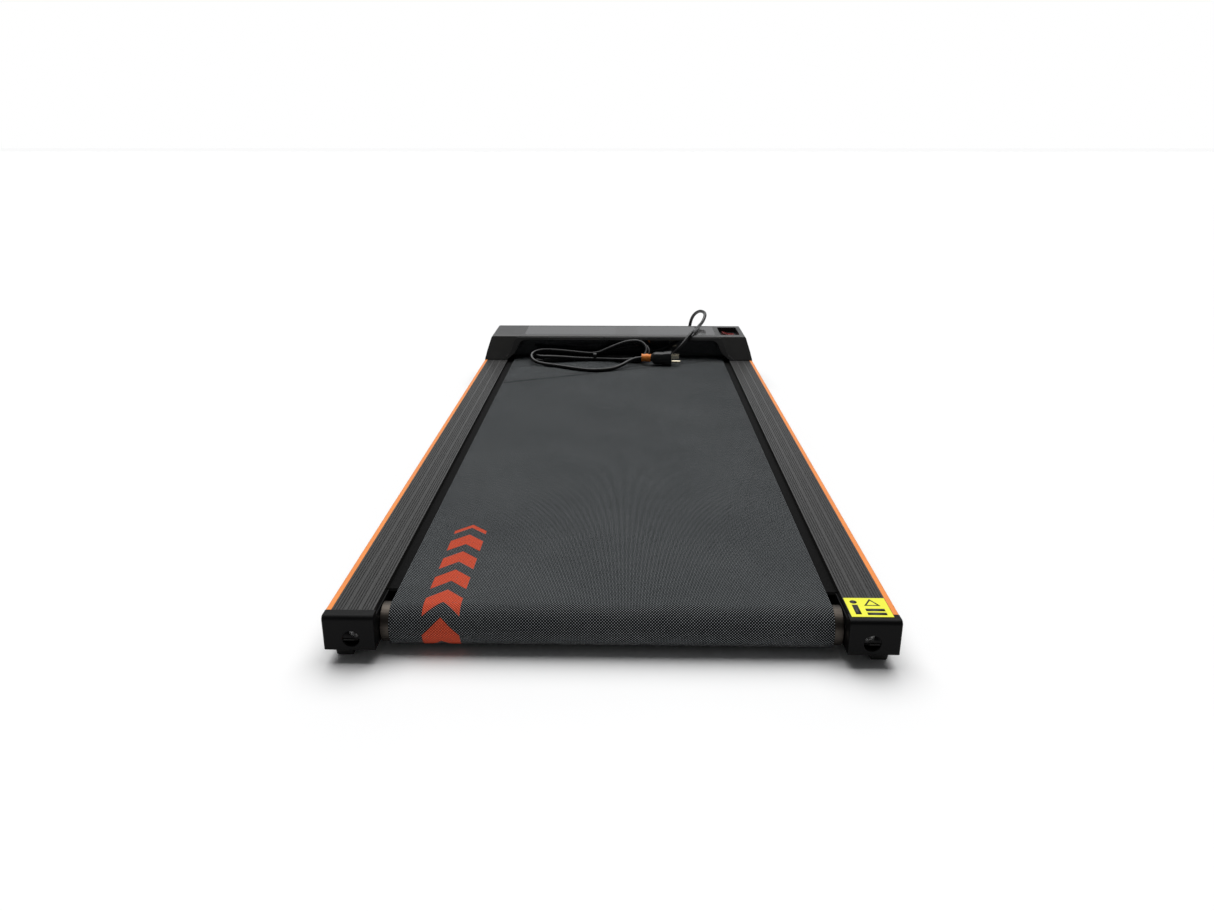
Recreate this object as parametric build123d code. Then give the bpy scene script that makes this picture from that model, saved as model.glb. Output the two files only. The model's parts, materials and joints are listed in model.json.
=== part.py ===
from build123d import *
import os
from math import atan2, cos, degrees, hypot, pi, radians, sin, sqrt, tan

# A slim under-desk walking pad, built as the separate pieces it is assembled from.
# Millimetres. X runs across the pad, +Y runs along it towards the hood, +Z is up.
# The origin is on the floor, under the middle of the pad.

os.makedirs("parts", exist_ok=True)

# Overall sizes
overall_length = 1130.0
overall_width = 510.0
overall_height = 89.5

# Running fits and gaps
running_gap = 0.05
moving_gap = 0.3

# Running belt, rollers and deck
belt_gap = 11.0
belt_top_z = 46.0
belt_thickness = 1.7
roller_radius = 18.0
roller_wall = 2.0
roller_overhang = 8.0
axle_radius = 6.0
bearing_radius = 14.0
bearing_width = 9.0
tension_travel = 6.0
deck_thickness = 12.0

# Side rails, trim strips and end caps
rail_width = 44.0
rail_top_z = 48.5
rail_bottom_z = 15.0
rail_wall = 2.3
trim_width = 6.0
trim_height = 4.0
groove_depth = 0.6
groove_width = 1.0
groove_pitch = 2.6
grooves_in_group = 4
groove_groups = 3
cap_depth = 12.0
cap_width = 46.0
cap_hole_radius = 7.75
cap_wall = 2.5
fairing_length = 60.0

# Steel frame
beam_width = 24.0
beam_bottom_z = 16.0
beam_top_z = 42.0
beam_wall = 2.0
cross_member_width = 25.0
cross_member_lower_run_gap = 4.3
cushion_height = 4.3
cross_member_wall = 1.5
cross_member_count = 4
foot_length = 40.0
foot_width = 15.0
foot_flare = 4.0
base_plate_thickness = 3.0

# Belt tensioning bolts, M6
bolt_radius = 3.0
bolt_head_radius = 5.0
bolt_head_height = 6.0
bolt_socket_across_flats = 5.0
bolt_length = 32.0

# Hood
hood_depth = 137.0
hood_wall = 3.0
hood_lap = 12.0
hood_shoulder_inset = 12.0
hood_side_low_z = 46.0
hood_side_high_z = 64.5
hood_side_lean = 4.4
hood_side_low_round = 25.0
hood_side_high_round = 30.0
plateau_front_setback = 29.0
arm_bottom_z = 48.8
opening_inset_low = 43.0
opening_inset_middle = 58.5
opening_middle_z = 61.0
opening_inset_top = 67.5
opening_top_z = 82.3
lip_width = 9.0
opening_top_round = 15.0
opening_flare_round = 14.0
lip_height = 1.2
guard_wall_setback = 100.0

# Display panel
panel_left_x = -181.5
panel_right_x = 187.0
panel_front_setback = 97.0
panel_back_setback = 16.0
panel_thickness = 1.5
window_length = 170.0
window_width = 34.0

# Switch pocket, rocker and reset button
pocket_width = 40.0
pocket_length = 77.0
pocket_floor_depth = 9.5
pocket_wall = 1.5
rocker_length = 27.0
rocker_width = 20.0
rocker_tilt = 10.0
reset_radius = 4.0
reset_travel = 2.5

# Drive motor and pulleys
motor_radius = 25.0
motor_length = 112.0
motor_shaft_radius = 4.0
drive_pulley_radius = 18.0
motor_pulley_radius = 7.0
pulley_width = 12.0
drive_belt_width = 10.0
drive_belt_thickness = 2.4

# Transport wheels
wheel_radius = 14.0
wheel_width = 12.0
wheel_axle_radius = 2.5
wheel_floor_gap = 2.0

# Power cord
cord_radius = 3.25
cord_exit_x = 140.0
cord_exit_z = 36.0
cord_boot_length = 26.0
hank_length = 233.0
plug_length = 32.0
plug_width = 25.0
plug_height = 26.0
plug_blade_length = 17.0
plug_blade_width = 6.3
plug_blade_thickness = 1.5
plug_blade_spacing = 12.7
earth_pin_radius = 2.4

# Everything below is worked out from the sizes above
half_length = overall_length / 2
half_width = overall_width / 2
rail_inner_x = half_width - rail_width
belt_width = 2 * (rail_inner_x - belt_gap)
belt_inner_radius = roller_radius + moving_gap
belt_outer_radius = belt_inner_radius + belt_thickness
roller_z = belt_top_z - belt_outer_radius
rear_roller_y = -half_length + 33.0
front_roller_y = half_length - 75.0
roller_half_length = belt_width / 2 + roller_overhang

hood_front_y = half_length - hood_depth
plateau_front_y = hood_front_y + plateau_front_setback
rail_front_y = hood_front_y + hood_lap
rail_rear_y = -half_length + cap_depth
hood_inner_top_z = overall_height - hood_wall
guard_wall_y = half_length - guard_wall_setback

beam_outer_x = half_width - 7.0
beam_inner_x = beam_outer_x - beam_width
beam_rear_y = -half_length + 20.0
beam_front_y = half_length - 45.0
tension_x = beam_inner_x + 6.0

deck_top_z = belt_top_z - belt_thickness
deck_bottom_z = deck_top_z - deck_thickness
deck_rear_y = rear_roller_y + roller_radius + tension_travel + 3.0
deck_front_y = front_roller_y - roller_radius - 10.0
cross_member_bottom_z = roller_z - belt_inner_radius + cross_member_lower_run_gap
cross_member_top_z = deck_bottom_z - cushion_height

motor_y = half_length - 31.0
motor_z = hood_inner_top_z - 32.5
pulley_x = -(beam_inner_x - 2.0 - pulley_width / 2)
motor_left_x = pulley_x + pulley_width / 2 + 18.0
motor_right_x = motor_left_x + motor_length

pocket_centre_x = half_width - 40.0
pocket_front_y = half_length - 97.0
pocket_floor_z = overall_height - pocket_floor_depth
rocker_y = pocket_front_y + 47.0
rocker_pivot_z = pocket_floor_z - 4.0
reset_y = pocket_front_y + 18.0

wheel_x = (beam_inner_x + beam_outer_x) / 2 + 1.0
wheel_y = half_length - 20.0
wheel_z = wheel_floor_gap + wheel_radius


def block(x0, x1, y0, y1, z0, z1):
    """A box between two corners."""
    return Pos((x0 + x1) / 2, (y0 + y1) / 2, (z0 + z1) / 2) * Box(abs(x1 - x0), abs(y1 - y0), abs(z1 - z0))


def rod_x(radius, x0, x1, y, z):
    """A cylinder along X."""
    return Pos((x0 + x1) / 2, y, z) * Rot(0, 90, 0) * Cylinder(radius, abs(x1 - x0))


def rod_y(radius, y0, y1, x, z):
    """A cylinder along Y."""
    return Pos(x, (y0 + y1) / 2, z) * Rot(90, 0, 0) * Cylinder(radius, abs(y1 - y0))


def rod_z(radius, z0, z1, x, y):
    """A cylinder along Z."""
    return Pos(x, y, (z0 + z1) / 2) * Cylinder(radius, abs(z1 - z0))


def along_x(sketch, x0, x1):
    """Extrude a sketch, drawn as (y, z), from x0 to x1."""
    plane = Plane(origin=(x0, 0, 0), x_dir=(0, 1, 0), z_dir=(1, 0, 0))
    return extrude(plane * sketch, amount=x1 - x0)


def along_y(sketch, y0, y1):
    """Extrude a sketch, drawn as (x, z), from y0 to y1."""
    plane = Plane(origin=(0, y0, 0), x_dir=(1, 0, 0), z_dir=(0, -1, 0))
    return extrude(plane * sketch, amount=-(y1 - y0))


def along_z(sketch, z0, z1):
    """Extrude a sketch, drawn as (x, y), from z0 to z1."""
    return extrude(Plane.XY.offset(z0) * sketch, amount=z1 - z0)


def outline(points):
    """A filled shape through the given corners."""
    return make_face(Polyline(*points, close=True))


def rounded(sketch, corners, radius):
    """Round the corners of a sketch that lie at the given points."""
    chosen = [v for v in sketch.vertices() if any(hypot(v.X - x, v.Y - y) < 0.01 for x, y in corners)]
    return fillet(chosen, radius)


def other_side(shape):
    """The same piece on the left."""
    return mirror(shape, about=Plane.YZ)


saved = []


def save(name, *shapes):
    """Write one named piece, which may be made of several separate solids."""
    solids = []
    for shape in shapes:
        solids += shape.solids()
    piece = solids[0] if len(solids) == 1 else Compound(children=solids)
    export_step(piece, f"parts/{name}.step")
    saved.append(name)
    return piece


# Steel frame: two side tubes with rear end plates, cross members, motor base plate
def side_beam():
    """The right side tube, with the rear end plate and the slot for the rear axle."""
    outer = block(beam_inner_x, beam_outer_x, beam_rear_y, beam_front_y, beam_bottom_z, beam_top_z)
    hollow = block(beam_inner_x + beam_wall, beam_outer_x - beam_wall, beam_rear_y, beam_front_y + 1.0,
                   beam_bottom_z + beam_wall, beam_top_z - beam_wall)
    end_plate = block(beam_inner_x, beam_outer_x, beam_rear_y - beam_wall, beam_rear_y, beam_bottom_z,
                      beam_top_z)
    slot_half = axle_radius + moving_gap
    slot = block(beam_inner_x - 1.0, beam_inner_x + beam_wall + 1.0, rear_roller_y - slot_half,
                 rear_roller_y + tension_travel + slot_half, roller_z - slot_half, roller_z + slot_half)
    bolt_hole = rod_y(bolt_radius + moving_gap, beam_rear_y - 5.0, beam_rear_y + 5.0, tension_x, roller_z)
    front_axle_hole = rod_x(bolt_radius + running_gap, beam_inner_x - 1.0, beam_outer_x + 1.0,
                            front_roller_y, roller_z)
    return outer - hollow + end_plate - slot - bolt_hole - front_axle_hole


right_beam = side_beam()
save("side_beam_right", right_beam)
save("side_beam_left", other_side(right_beam))

cross_member_ys = []
for index in range(cross_member_count):
    share = index / (cross_member_count - 1)
    cross_member_ys.append(deck_rear_y + 40.0 + share * (deck_front_y - deck_rear_y - 80.0))

cross_members = []
for y in cross_member_ys:
    tube = block(-beam_inner_x, beam_inner_x, y - cross_member_width / 2, y + cross_member_width / 2,
                 cross_member_bottom_z, cross_member_top_z)
    bore = block(-beam_inner_x - 1, beam_inner_x + 1, y - cross_member_width / 2 + cross_member_wall,
                 y + cross_member_width / 2 - cross_member_wall, cross_member_bottom_z + cross_member_wall,
                 cross_member_top_z - cross_member_wall)
    cross_members.append(tube - bore)

# Deck, its rubber cushions and its screws
screw_x = (beam_inner_x + rail_inner_x + rail_wall) / 2 - 2.0
deck = block(-beam_inner_x + 1.0, beam_inner_x - 1.0, deck_rear_y, deck_front_y, deck_bottom_z, deck_top_z)
deck = chamfer(deck.edges().filter_by(Axis.X).group_by(Axis.Z)[-1], 2.0)
cushions = []
screws = []
for y in cross_member_ys:
    for side in (-1, 1):
        x = side * screw_x
        shank = rod_z(2.0, cross_member_bottom_z + 4.0, deck_top_z - 2.0, x, y)
        head = Pos(x, y, deck_top_z - 1.5) * Cone(2.0, 4.0, 2.6)
        screw = shank + head - block(x - 2.0, x + 2.0, y - 0.4, y + 0.4, deck_top_z - 1.0, deck_top_z + 1.0)
        screws.append(screw)
        hole = rod_z(2.0, cross_member_bottom_z, deck_top_z, x, y) + head
        deck = deck - hole
        pad = rod_z(7.0, cross_member_top_z, deck_bottom_z, x, y) - hole
        cushions.append(pad)
        index = cross_member_ys.index(y)
        cross_members[index] = cross_members[index] - hole
save("cross_members", *cross_members)
save("running_deck", deck)
save("deck_cushions", *cushions)
save("deck_screws", *screws)


# Running belt
def belt_loop(radius, x0, x1):
    """A solid filling the belt's path out to the given radius."""
    middle = (rear_roller_y + front_roller_y) / 2
    slot = SlotCenterToCenter(front_roller_y - rear_roller_y, 2 * radius)
    return along_x(Pos(middle, roller_z) * slot, x0, x1)


running_belt = belt_loop(belt_outer_radius, -belt_width / 2, belt_width / 2)
running_belt = running_belt - belt_loop(belt_inner_radius, -belt_width / 2 - 1, belt_width / 2 + 1)
save("running_belt", running_belt)


# Rollers
def bearing_pair(y):
    """The two ball bearings pressed into a roller's ends."""
    pair = []
    for side in (-1, 1):
        near = side * (roller_half_length - 1.0)
        far = side * (roller_half_length - 1.0 - bearing_width)
        x0, x1 = min(near, far), max(near, far)
        ring = rod_x(bearing_radius, x0, x1, y, roller_z)
        ring = ring - rod_x(axle_radius + running_gap, x0 - 1, x1 + 1, y, roller_z)
        groove = rod_x(bearing_radius - 2.0, x0 - 1, x0 + 0.8, y, roller_z)
        groove = groove - rod_x(axle_radius + 2.0, x0 - 1, x0 + 0.8, y, roller_z)
        second = rod_x(bearing_radius - 2.0, x1 - 0.8, x1 + 1, y, roller_z)
        second = second - rod_x(axle_radius + 2.0, x1 - 0.8, x1 + 1, y, roller_z)
        pair.append(ring - groove - second)
    return pair


def roller_tube(y):
    """A steel roller tube, thicker at the ends where the bearings seat."""
    tube = rod_x(roller_radius, -roller_half_length, roller_half_length, y, roller_z)
    seat = 1.0 + bearing_width
    tube = tube - rod_x(bearing_radius, -roller_half_length - 1, roller_half_length + 1, y, roller_z)
    inner_limit = roller_half_length - seat - 4.0
    tube = tube - rod_x(roller_radius - roller_wall, -inner_limit, inner_limit, y, roller_z)
    shoulder = roller_half_length - seat
    for side in (-1, 1):
        x0, x1 = sorted((side * shoulder, side * (shoulder - 3.0)))
        ring = rod_x(bearing_radius + 0.5, x0, x1, y, roller_z)
        ring = ring - rod_x(bearing_radius - 2.0, x0 - 1, x1 + 1, y, roller_z)
        tube = tube + ring
    return tube


save("rear_roller_tube", roller_tube(rear_roller_y))
save("rear_bearings", *bearing_pair(rear_roller_y))
rear_axle_half = tension_x + 7.0
rear_axle = rod_x(axle_radius, -rear_axle_half, rear_axle_half, rear_roller_y, roller_z)
for side in (-1, 1):
    rear_axle = rear_axle - rod_y(bolt_radius + running_gap, rear_roller_y - 10, rear_roller_y + 10,
                                  side * tension_x, roller_z)
save("rear_axle", rear_axle)

save("front_roller_tube", roller_tube(front_roller_y))
save("front_bearings", *bearing_pair(front_roller_y))
front_axle = rod_x(axle_radius, -beam_inner_x, beam_inner_x, front_roller_y, roller_z)
axle_bolt_reach = 20.0
for side in (-1, 1):
    x0, x1 = sorted((side * (beam_inner_x + 1), side * (beam_inner_x - axle_bolt_reach)))
    front_axle = front_axle - rod_x(bolt_radius, x0, x1, front_roller_y, roller_z)
save("front_axle", front_axle)
axle_bolts = []
for side in (-1, 1):
    x0, x1 = sorted((side * beam_outer_x, side * (beam_inner_x - axle_bolt_reach)))
    shank = rod_x(bolt_radius, x0, x1, front_roller_y, roller_z)
    h0, h1 = sorted((side * beam_outer_x, side * (beam_outer_x + 3.0)))
    axle_bolts.append(shank + rod_x(bolt_head_radius, h0, h1, front_roller_y, roller_z))
save("front_axle_bolts", *axle_bolts)


# Belt tensioning bolts, reached through the holes in the end caps
def tension_bolt():
    """The right M6 socket head bolt that draws the rear axle back."""
    seat_y = beam_rear_y - beam_wall - running_gap
    head = rod_y(bolt_head_radius, seat_y - bolt_head_height, seat_y, tension_x, roller_z)
    socket = along_y(Pos(tension_x, roller_z) * RegularPolygon(bolt_socket_across_flats / 2, 6,
                                                              major_radius=False),
                     seat_y - bolt_head_height - 1.0, seat_y - bolt_head_height + 3.0)
    shank = rod_y(bolt_radius, seat_y, seat_y + bolt_length, tension_x, roller_z)
    return head - socket + shank


right_bolt = tension_bolt()
save("tension_bolt_right", right_bolt)
save("tension_bolt_left", other_side(right_bolt))


# Side rails and their coloured trim strips
def rail_section():
    """The rail's cross-section on the right: an open channel with a grooved top."""
    trim_x = half_width - trim_width
    trim_z = rail_top_z - trim_height
    wall = rail_wall
    corners = [(rail_inner_x, deck_top_z), (rail_inner_x, rail_top_z), (trim_x, rail_top_z),
               (trim_x, trim_z), (half_width, trim_z), (half_width, rail_bottom_z),
               (half_width - wall, rail_bottom_z), (half_width - wall, trim_z - wall),
               (trim_x - wall, trim_z - wall), (trim_x - wall, rail_top_z - wall),
               (rail_inner_x + wall, rail_top_z - wall), (rail_inner_x + wall, deck_top_z)]
    section = outline(corners)
    rib_x = (beam_inner_x + beam_outer_x) / 2
    section = section + Pos(rib_x, (beam_top_z + rail_top_z - wall) / 2) * Rectangle(
        2.0, rail_top_z - wall - beam_top_z)
    group_span = (trim_x - rail_inner_x) / groove_groups
    for group in range(groove_groups):
        centre = rail_inner_x + (group + 0.5) * group_span
        for number in range(grooves_in_group):
            x = centre + (number - (grooves_in_group - 1) / 2) * groove_pitch
            section = section - Pos(x, rail_top_z) * Rectangle(groove_width, 2 * groove_depth)
    return section


right_rail = along_y(rail_section(), rail_rear_y, rail_front_y)
save("side_rail_right", right_rail)
save("side_rail_left", other_side(right_rail))

trim_chamfer = 1.8
trim_section = outline([(half_width - trim_width, rail_top_z - trim_height),
                        (half_width - trim_width, rail_top_z), (half_width - trim_chamfer, rail_top_z),
                        (half_width, rail_top_z - trim_chamfer), (half_width, rail_top_z - trim_height)])
right_trim = along_y(trim_section, rail_rear_y, rail_front_y)
save("trim_strip_right", right_trim)
save("trim_strip_left", other_side(right_trim))


# End caps
def end_cap():
    """The right rear cap: a cup over the rail's end, with a wall beside the roller's end."""
    inner_x = half_width - cap_width
    front_y = -half_length
    body = block(inner_x, half_width, front_y, rail_rear_y, rail_bottom_z, rail_top_z)
    body = fillet(body.edges().filter_by(Axis.X).group_by(Axis.Y)[0].group_by(Axis.Z)[-1], 5.0)
    body = fillet(body.edges().filter_by(Axis.Y).group_by(Axis.Z)[-1].group_by(Axis.X)[-1], 1.8)
    hollow = block(inner_x + cap_wall, half_width - cap_wall, front_y + cap_wall, rail_rear_y + 1.0,
                   rail_bottom_z + cap_wall, rail_top_z - cap_wall)
    body = body - hollow
    body = body - rod_y(cap_hole_radius, front_y - 1.0, front_y + cap_wall + 1.0, tension_x, roller_z)
    fairing_end = min(front_y + fairing_length, deck_rear_y - moving_gap)
    fairing_top = deck_top_z - 0.3
    fairing = block(inner_x, inner_x + cap_wall - 0.5, rail_rear_y, fairing_end, rail_bottom_z, fairing_top)
    slot_half = axle_radius + 1.5
    fairing = fairing - block(inner_x - 1.0, inner_x + cap_wall + 1.0, rear_roller_y - slot_half,
                              rear_roller_y + tension_travel + slot_half, roller_z - slot_half,
                              roller_z + slot_half)
    return body + fairing


right_cap = end_cap()
save("end_cap_right", right_cap)
save("end_cap_left", other_side(right_cap))

# A blank warning-coloured label on the right rail
label_length = 35.0
label_width = rail_width - 1.0
label = block(half_width - label_width - 0.5, half_width - trim_width - 0.5, rail_rear_y - 5.0,
              rail_rear_y + label_length - 5.0, rail_top_z, rail_top_z + 0.3)
save("rail_label", label)


# Feet
def foot(y0):
    """A right rubber foot, wider at the top, starting at y0."""
    x = (half_width - 13.0)
    low = foot_width / 2
    high = foot_width / 2 + foot_flare / 2
    section = outline([(x - low, 0.0), (x + low, 0.0), (x + high, beam_bottom_z), (x - high, beam_bottom_z)])
    shape = along_y(section, y0, y0 + foot_length)
    return chamfer(shape.edges().filter_by(Axis.Y).group_by(Axis.Z)[0], 1.0)


rear_foot = foot(-half_length + 17.0)
front_foot = foot(hood_front_y - foot_length - 30.0)
save("rear_feet", rear_foot, other_side(rear_foot))
save("front_feet", front_foot, other_side(front_foot))


# Hood
slope_rise = overall_height - arm_bottom_z
slope_run = plateau_front_setback
slope_shift = hypot(slope_rise, slope_run) / slope_rise


def slope_y(z, outset=0.0):
    """Where the hood's sloping front is at height z, moved out towards the user by outset."""
    return hood_front_y + (z - arm_bottom_z) * slope_run / slope_rise - outset * slope_shift


def hood_body(inset, bottom_z):
    """The hood's outer shape, or the same shape shrunk by inset."""
    side = half_width - inset
    top = overall_height - inset
    lean = hood_side_lean
    shoulder = hood_shoulder_inset
    low_z = hood_side_low_z
    high_z = hood_side_high_z
    across = [(-side, bottom_z), (-side, low_z), (-side + lean, high_z), (-side + shoulder, top),
              (side - shoulder, top), (side - lean, high_z), (side, low_z), (side, bottom_z)]
    section = outline(across)
    section = rounded(section, [(-side + shoulder, top), (side - shoulder, top)], 6.0 - inset * 0.8)
    section = rounded(section, [(-side + lean, high_z), (side - lean, high_z)], hood_side_high_round)
    section = rounded(section, [(-side, low_z), (side, low_z)], hood_side_low_round)
    whole = along_y(section, hood_front_y - 60.0, half_length + 10.0)
    back = half_length - inset
    if inset == 0.0:
        along = [(rail_front_y + moving_gap, bottom_z), (rail_front_y + moving_gap, arm_bottom_z),
                 (hood_front_y, arm_bottom_z), (slope_y(top), top), (back, top), (back, bottom_z)]
    else:
        along = [(slope_y(bottom_z, -inset), bottom_z), (slope_y(top, -inset), top), (back, top),
                 (back, bottom_z)]
    profile = outline(along)
    profile = rounded(profile, [(back, top)], 8.0 - inset)
    front_corner = (slope_y(top), top) if inset == 0.0 else (slope_y(top, -inset), top)
    profile = rounded(profile, [front_corner], 5.0 - inset)
    lengthways = along_x(profile, -half_width - 1.0, half_width + 1.0)
    front_limit = hood_front_y - 50.0
    plan = outline([(-side, front_limit), (-side, back), (side, back), (side, front_limit)])
    plan = rounded(plan, [(-side, back), (side, back)], 12.0 - inset)
    upright = along_z(plan, bottom_z, overall_height + 1.0)
    return whole & lengthways & upright


def opening_section(outset):
    """The U-shaped opening over the belt, grown outwards by outset."""
    low = half_width - opening_inset_low + outset
    middle = half_width - opening_inset_middle + outset
    top_x = half_width - opening_inset_top + outset
    top_z = opening_top_z + outset
    corners = [(-low, 40.0), (-low, arm_bottom_z), (-middle, opening_middle_z), (-top_x, top_z),
               (top_x, top_z), (middle, opening_middle_z), (low, arm_bottom_z), (low, 40.0)]
    section = outline(corners)
    section = rounded(section, [(-top_x, top_z), (top_x, top_z)], opening_top_round + outset * 0.5)
    return rounded(section, [(-middle, opening_middle_z), (middle, opening_middle_z)], opening_flare_round)


outer_hood = hood_body(0.0, rail_bottom_z)
inner_hood = hood_body(hood_wall, rail_bottom_z - 1.0)
jamb = along_y(opening_section(2.5), hood_front_y - 40.0, guard_wall_y + 2.5)
jamb = jamb & block(-half_width, half_width, hood_front_y - 40.0, guard_wall_y + 5.0, arm_bottom_z,
                    overall_height)
opening = along_y(opening_section(0.0), hood_front_y - 40.0, guard_wall_y + 5.0)
hood = outer_hood - (inner_hood - jamb) - opening

panel_front_y = half_length - panel_front_setback
panel_back_y = half_length - panel_back_setback
panel_cx = (panel_left_x + panel_right_x) / 2
panel_cy = (panel_front_y + panel_back_y) / 2
panel_span = panel_right_x - panel_left_x
panel_depth = panel_back_y - panel_front_y
panel_face = Pos(panel_cx, panel_cy) * RectangleRounded(panel_span, panel_depth, 5.0)
panel = along_z(panel_face, overall_height - panel_thickness, overall_height)
window_x = panel_left_x + 30.0 + window_length / 2
window_face = Pos(window_x, panel_cy) * RectangleRounded(window_length, window_width, 3.0)
window = along_z(window_face, hood_inner_top_z - 1.0, overall_height)
hood = hood - panel - window

pocket_cy = pocket_front_y + pocket_length / 2
pocket_face = Pos(pocket_centre_x, pocket_cy) * RectangleRounded(pocket_width, pocket_length, 6.0)
hood = hood - along_z(pocket_face, hood_inner_top_z - 5.0, overall_height + 1.0)
hood = hood - rod_y(6.0, half_length - 10.0, half_length + 5.0, cord_exit_x, cord_exit_z)
save("hood_cover", hood)
save("display_panel", panel)

# Raised lip round the opening
lip = along_y(opening_section(lip_width) - opening_section(0.0), hood_front_y - 40.0, guard_wall_y)
lip_top_z = overall_height - 2.6
slab = outline([
    (slope_y(arm_bottom_z, lip_height), arm_bottom_z),
    (slope_y(lip_top_z, lip_height), lip_top_z),
    (slope_y(lip_top_z), lip_top_z),
    (slope_y(arm_bottom_z), arm_bottom_z),
])
lip = lip & along_x(slab, -half_width, half_width)
save("opening_lip", lip)

# Dark wall at the back of the opening, over the belt
guard_radius = 24.0
guard_half = half_width - opening_inset_low + 2.0
guard_front_y = hood_front_y + 12.0


def guard_plan(inset):
    """The wall's plan: straight across, curving forward at both ends."""
    half = guard_half - inset
    back = guard_wall_y + 2.5 - inset
    plan = outline([(-half, guard_front_y), (-half, back), (half, back), (half, guard_front_y)])
    return rounded(plan, [(-half, back), (half, back)], guard_radius - inset)


guard = along_z(guard_plan(0.0) - guard_plan(2.5), belt_top_z + 2.0, overall_height)
guard = guard & along_y(opening_section(0.0), hood_front_y, guard_wall_y + 5.0)
guard = max(guard.solids(), key=lambda solid: solid.volume)
save("belt_guard", guard)

# Display board with its LED module against the window
board_z = hood_inner_top_z - 4.5
display_board = block(window_x - window_length / 2 - 10.0, window_x + window_length / 2 + 10.0,
                      panel_cy - window_width / 2 - 8.0, panel_cy + window_width / 2 + 8.0,
                      board_z, board_z + 1.6)
module = block(window_x - window_length / 2 - 4.0, window_x + window_length / 2 + 4.0,
               panel_cy - window_width / 2 - 4.0, panel_cy + window_width / 2 + 4.0,
               board_z + 1.6, hood_inner_top_z)
save("display_board", display_board + module)

# Plate that carries the motor, welded to the beam ends
plate_front_y = beam_front_y
plate_back_y = half_length - 6.0
plate_z = 14.0
base_plate = block(-beam_inner_x, beam_inner_x, plate_front_y, plate_back_y, plate_z,
                   plate_z + base_plate_thickness)
base_plate = base_plate + block(-beam_outer_x, beam_outer_x, plate_front_y,
                                plate_front_y + base_plate_thickness, plate_z, plate_z + base_plate_thickness)
for side in (-1, 1):
    x0, x1 = sorted((side * beam_inner_x, side * beam_outer_x))
    tab = block(x0, x1, plate_front_y, plate_front_y + base_plate_thickness, plate_z, beam_top_z)
    base_plate = base_plate + tab
save("motor_base_plate", base_plate)

# Bottom cover of the hood, cut out round the transport wheels
cover_top_z = plate_z
cover = block(-half_width + hood_wall + 0.3, half_width - hood_wall - 0.3, plate_front_y - 6.0,
              half_length - hood_wall - 0.3, cover_top_z - 2.5, cover_top_z)
cover = fillet(cover.edges().filter_by(Axis.Z).group_by(Axis.Y)[-1], 9.0)
for side in (-1, 1):
    x0, x1 = sorted((side * (wheel_x - wheel_width / 2 - 5.0), side * (wheel_x + wheel_width / 2 + 5.0)))
    cover = cover - block(x0, x1, plate_front_y + 2.0, half_length, cover_top_z - 3.0, cover_top_z + 1.0)
cover = max(cover.solids(), key=lambda solid: solid.volume)
save("hood_bottom_cover", cover)


# Transport wheels in their brackets
def wheel_bracket():
    """The right fork, fixed to the base plate's tab."""
    cheek = 2.0
    inner = wheel_x - wheel_width / 2 - 2.0 - cheek
    outer = wheel_x + wheel_width / 2 + 2.0
    web_y = plate_front_y + base_plate_thickness
    fork = block(inner, outer + cheek, web_y, web_y + cheek, 8.0, 30.0)
    for x in (inner, outer):
        fork = fork + block(x, x + cheek, web_y, wheel_y + 5.0, 10.0, 24.0)
    return fork - rod_x(wheel_axle_radius, inner - 1, outer + cheek + 1, wheel_y, wheel_z)


right_bracket = wheel_bracket()
save("wheel_brackets", right_bracket, other_side(right_bracket))
right_wheel_axle = rod_x(wheel_axle_radius, wheel_x - wheel_width / 2 - 5.0, wheel_x + wheel_width / 2 + 5.0,
                         wheel_y, wheel_z)
save("wheel_axles", right_wheel_axle, other_side(right_wheel_axle))
right_wheel = rod_x(wheel_radius, wheel_x - wheel_width / 2, wheel_x + wheel_width / 2, wheel_y, wheel_z)
right_wheel = fillet(right_wheel.edges(), 1.5)
wheel_bore_radius = wheel_axle_radius + running_gap
right_wheel = right_wheel - rod_x(wheel_bore_radius, wheel_x - wheel_width, wheel_x + wheel_width,
                                  wheel_y, wheel_z)
for start in (wheel_x - wheel_width / 2 - 1.0, wheel_x + wheel_width / 2 - 2.0):
    dish = rod_x(wheel_radius - 4.0, start, start + 3.0, wheel_y, wheel_z)
    dish = dish - rod_x(wheel_axle_radius + 2.5, start, start + 3.0, wheel_y, wheel_z)
    right_wheel = right_wheel - dish
save("transport_wheel_right", right_wheel)
save("transport_wheel_left", other_side(right_wheel))

# Motor
can_wall = 3.0
can = rod_x(motor_radius, motor_left_x, motor_right_x, motor_y, motor_z)
can = can - rod_x(motor_radius - can_wall, motor_left_x - 1, motor_right_x + 1, motor_y, motor_z)
save("motor_can", can)
bells = []
for x0, x1 in ((motor_left_x - 3.0, motor_left_x), (motor_right_x, motor_right_x + 3.0)):
    bell = rod_x(motor_radius, x0, x1, motor_y, motor_z)
    bell = bell - rod_x(motor_shaft_radius + running_gap, x0 - 1, x1 + 1, motor_y, motor_z)
    bells.append(bell)
save("motor_end_bells", *bells)
magnet_outer = motor_radius - can_wall
magnet_thickness = 4.0
magnets = []
for turn in (0, 180):
    shell = rod_x(magnet_outer, motor_left_x + 15.0, motor_right_x - 25.0, motor_y, motor_z)
    shell = shell - rod_x(magnet_outer - magnet_thickness, motor_left_x, motor_right_x, motor_y, motor_z)
    keep = block(motor_left_x, motor_right_x, motor_y - 30.0, motor_y + 30.0, motor_z + 7.0, motor_z + 30.0)
    keep = keep if turn == 0 else block(motor_left_x, motor_right_x, motor_y - 30.0, motor_y + 30.0,
                                        motor_z - 30.0, motor_z - 7.0)
    magnets.append(shell & keep)
save("motor_magnets", *magnets)
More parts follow.
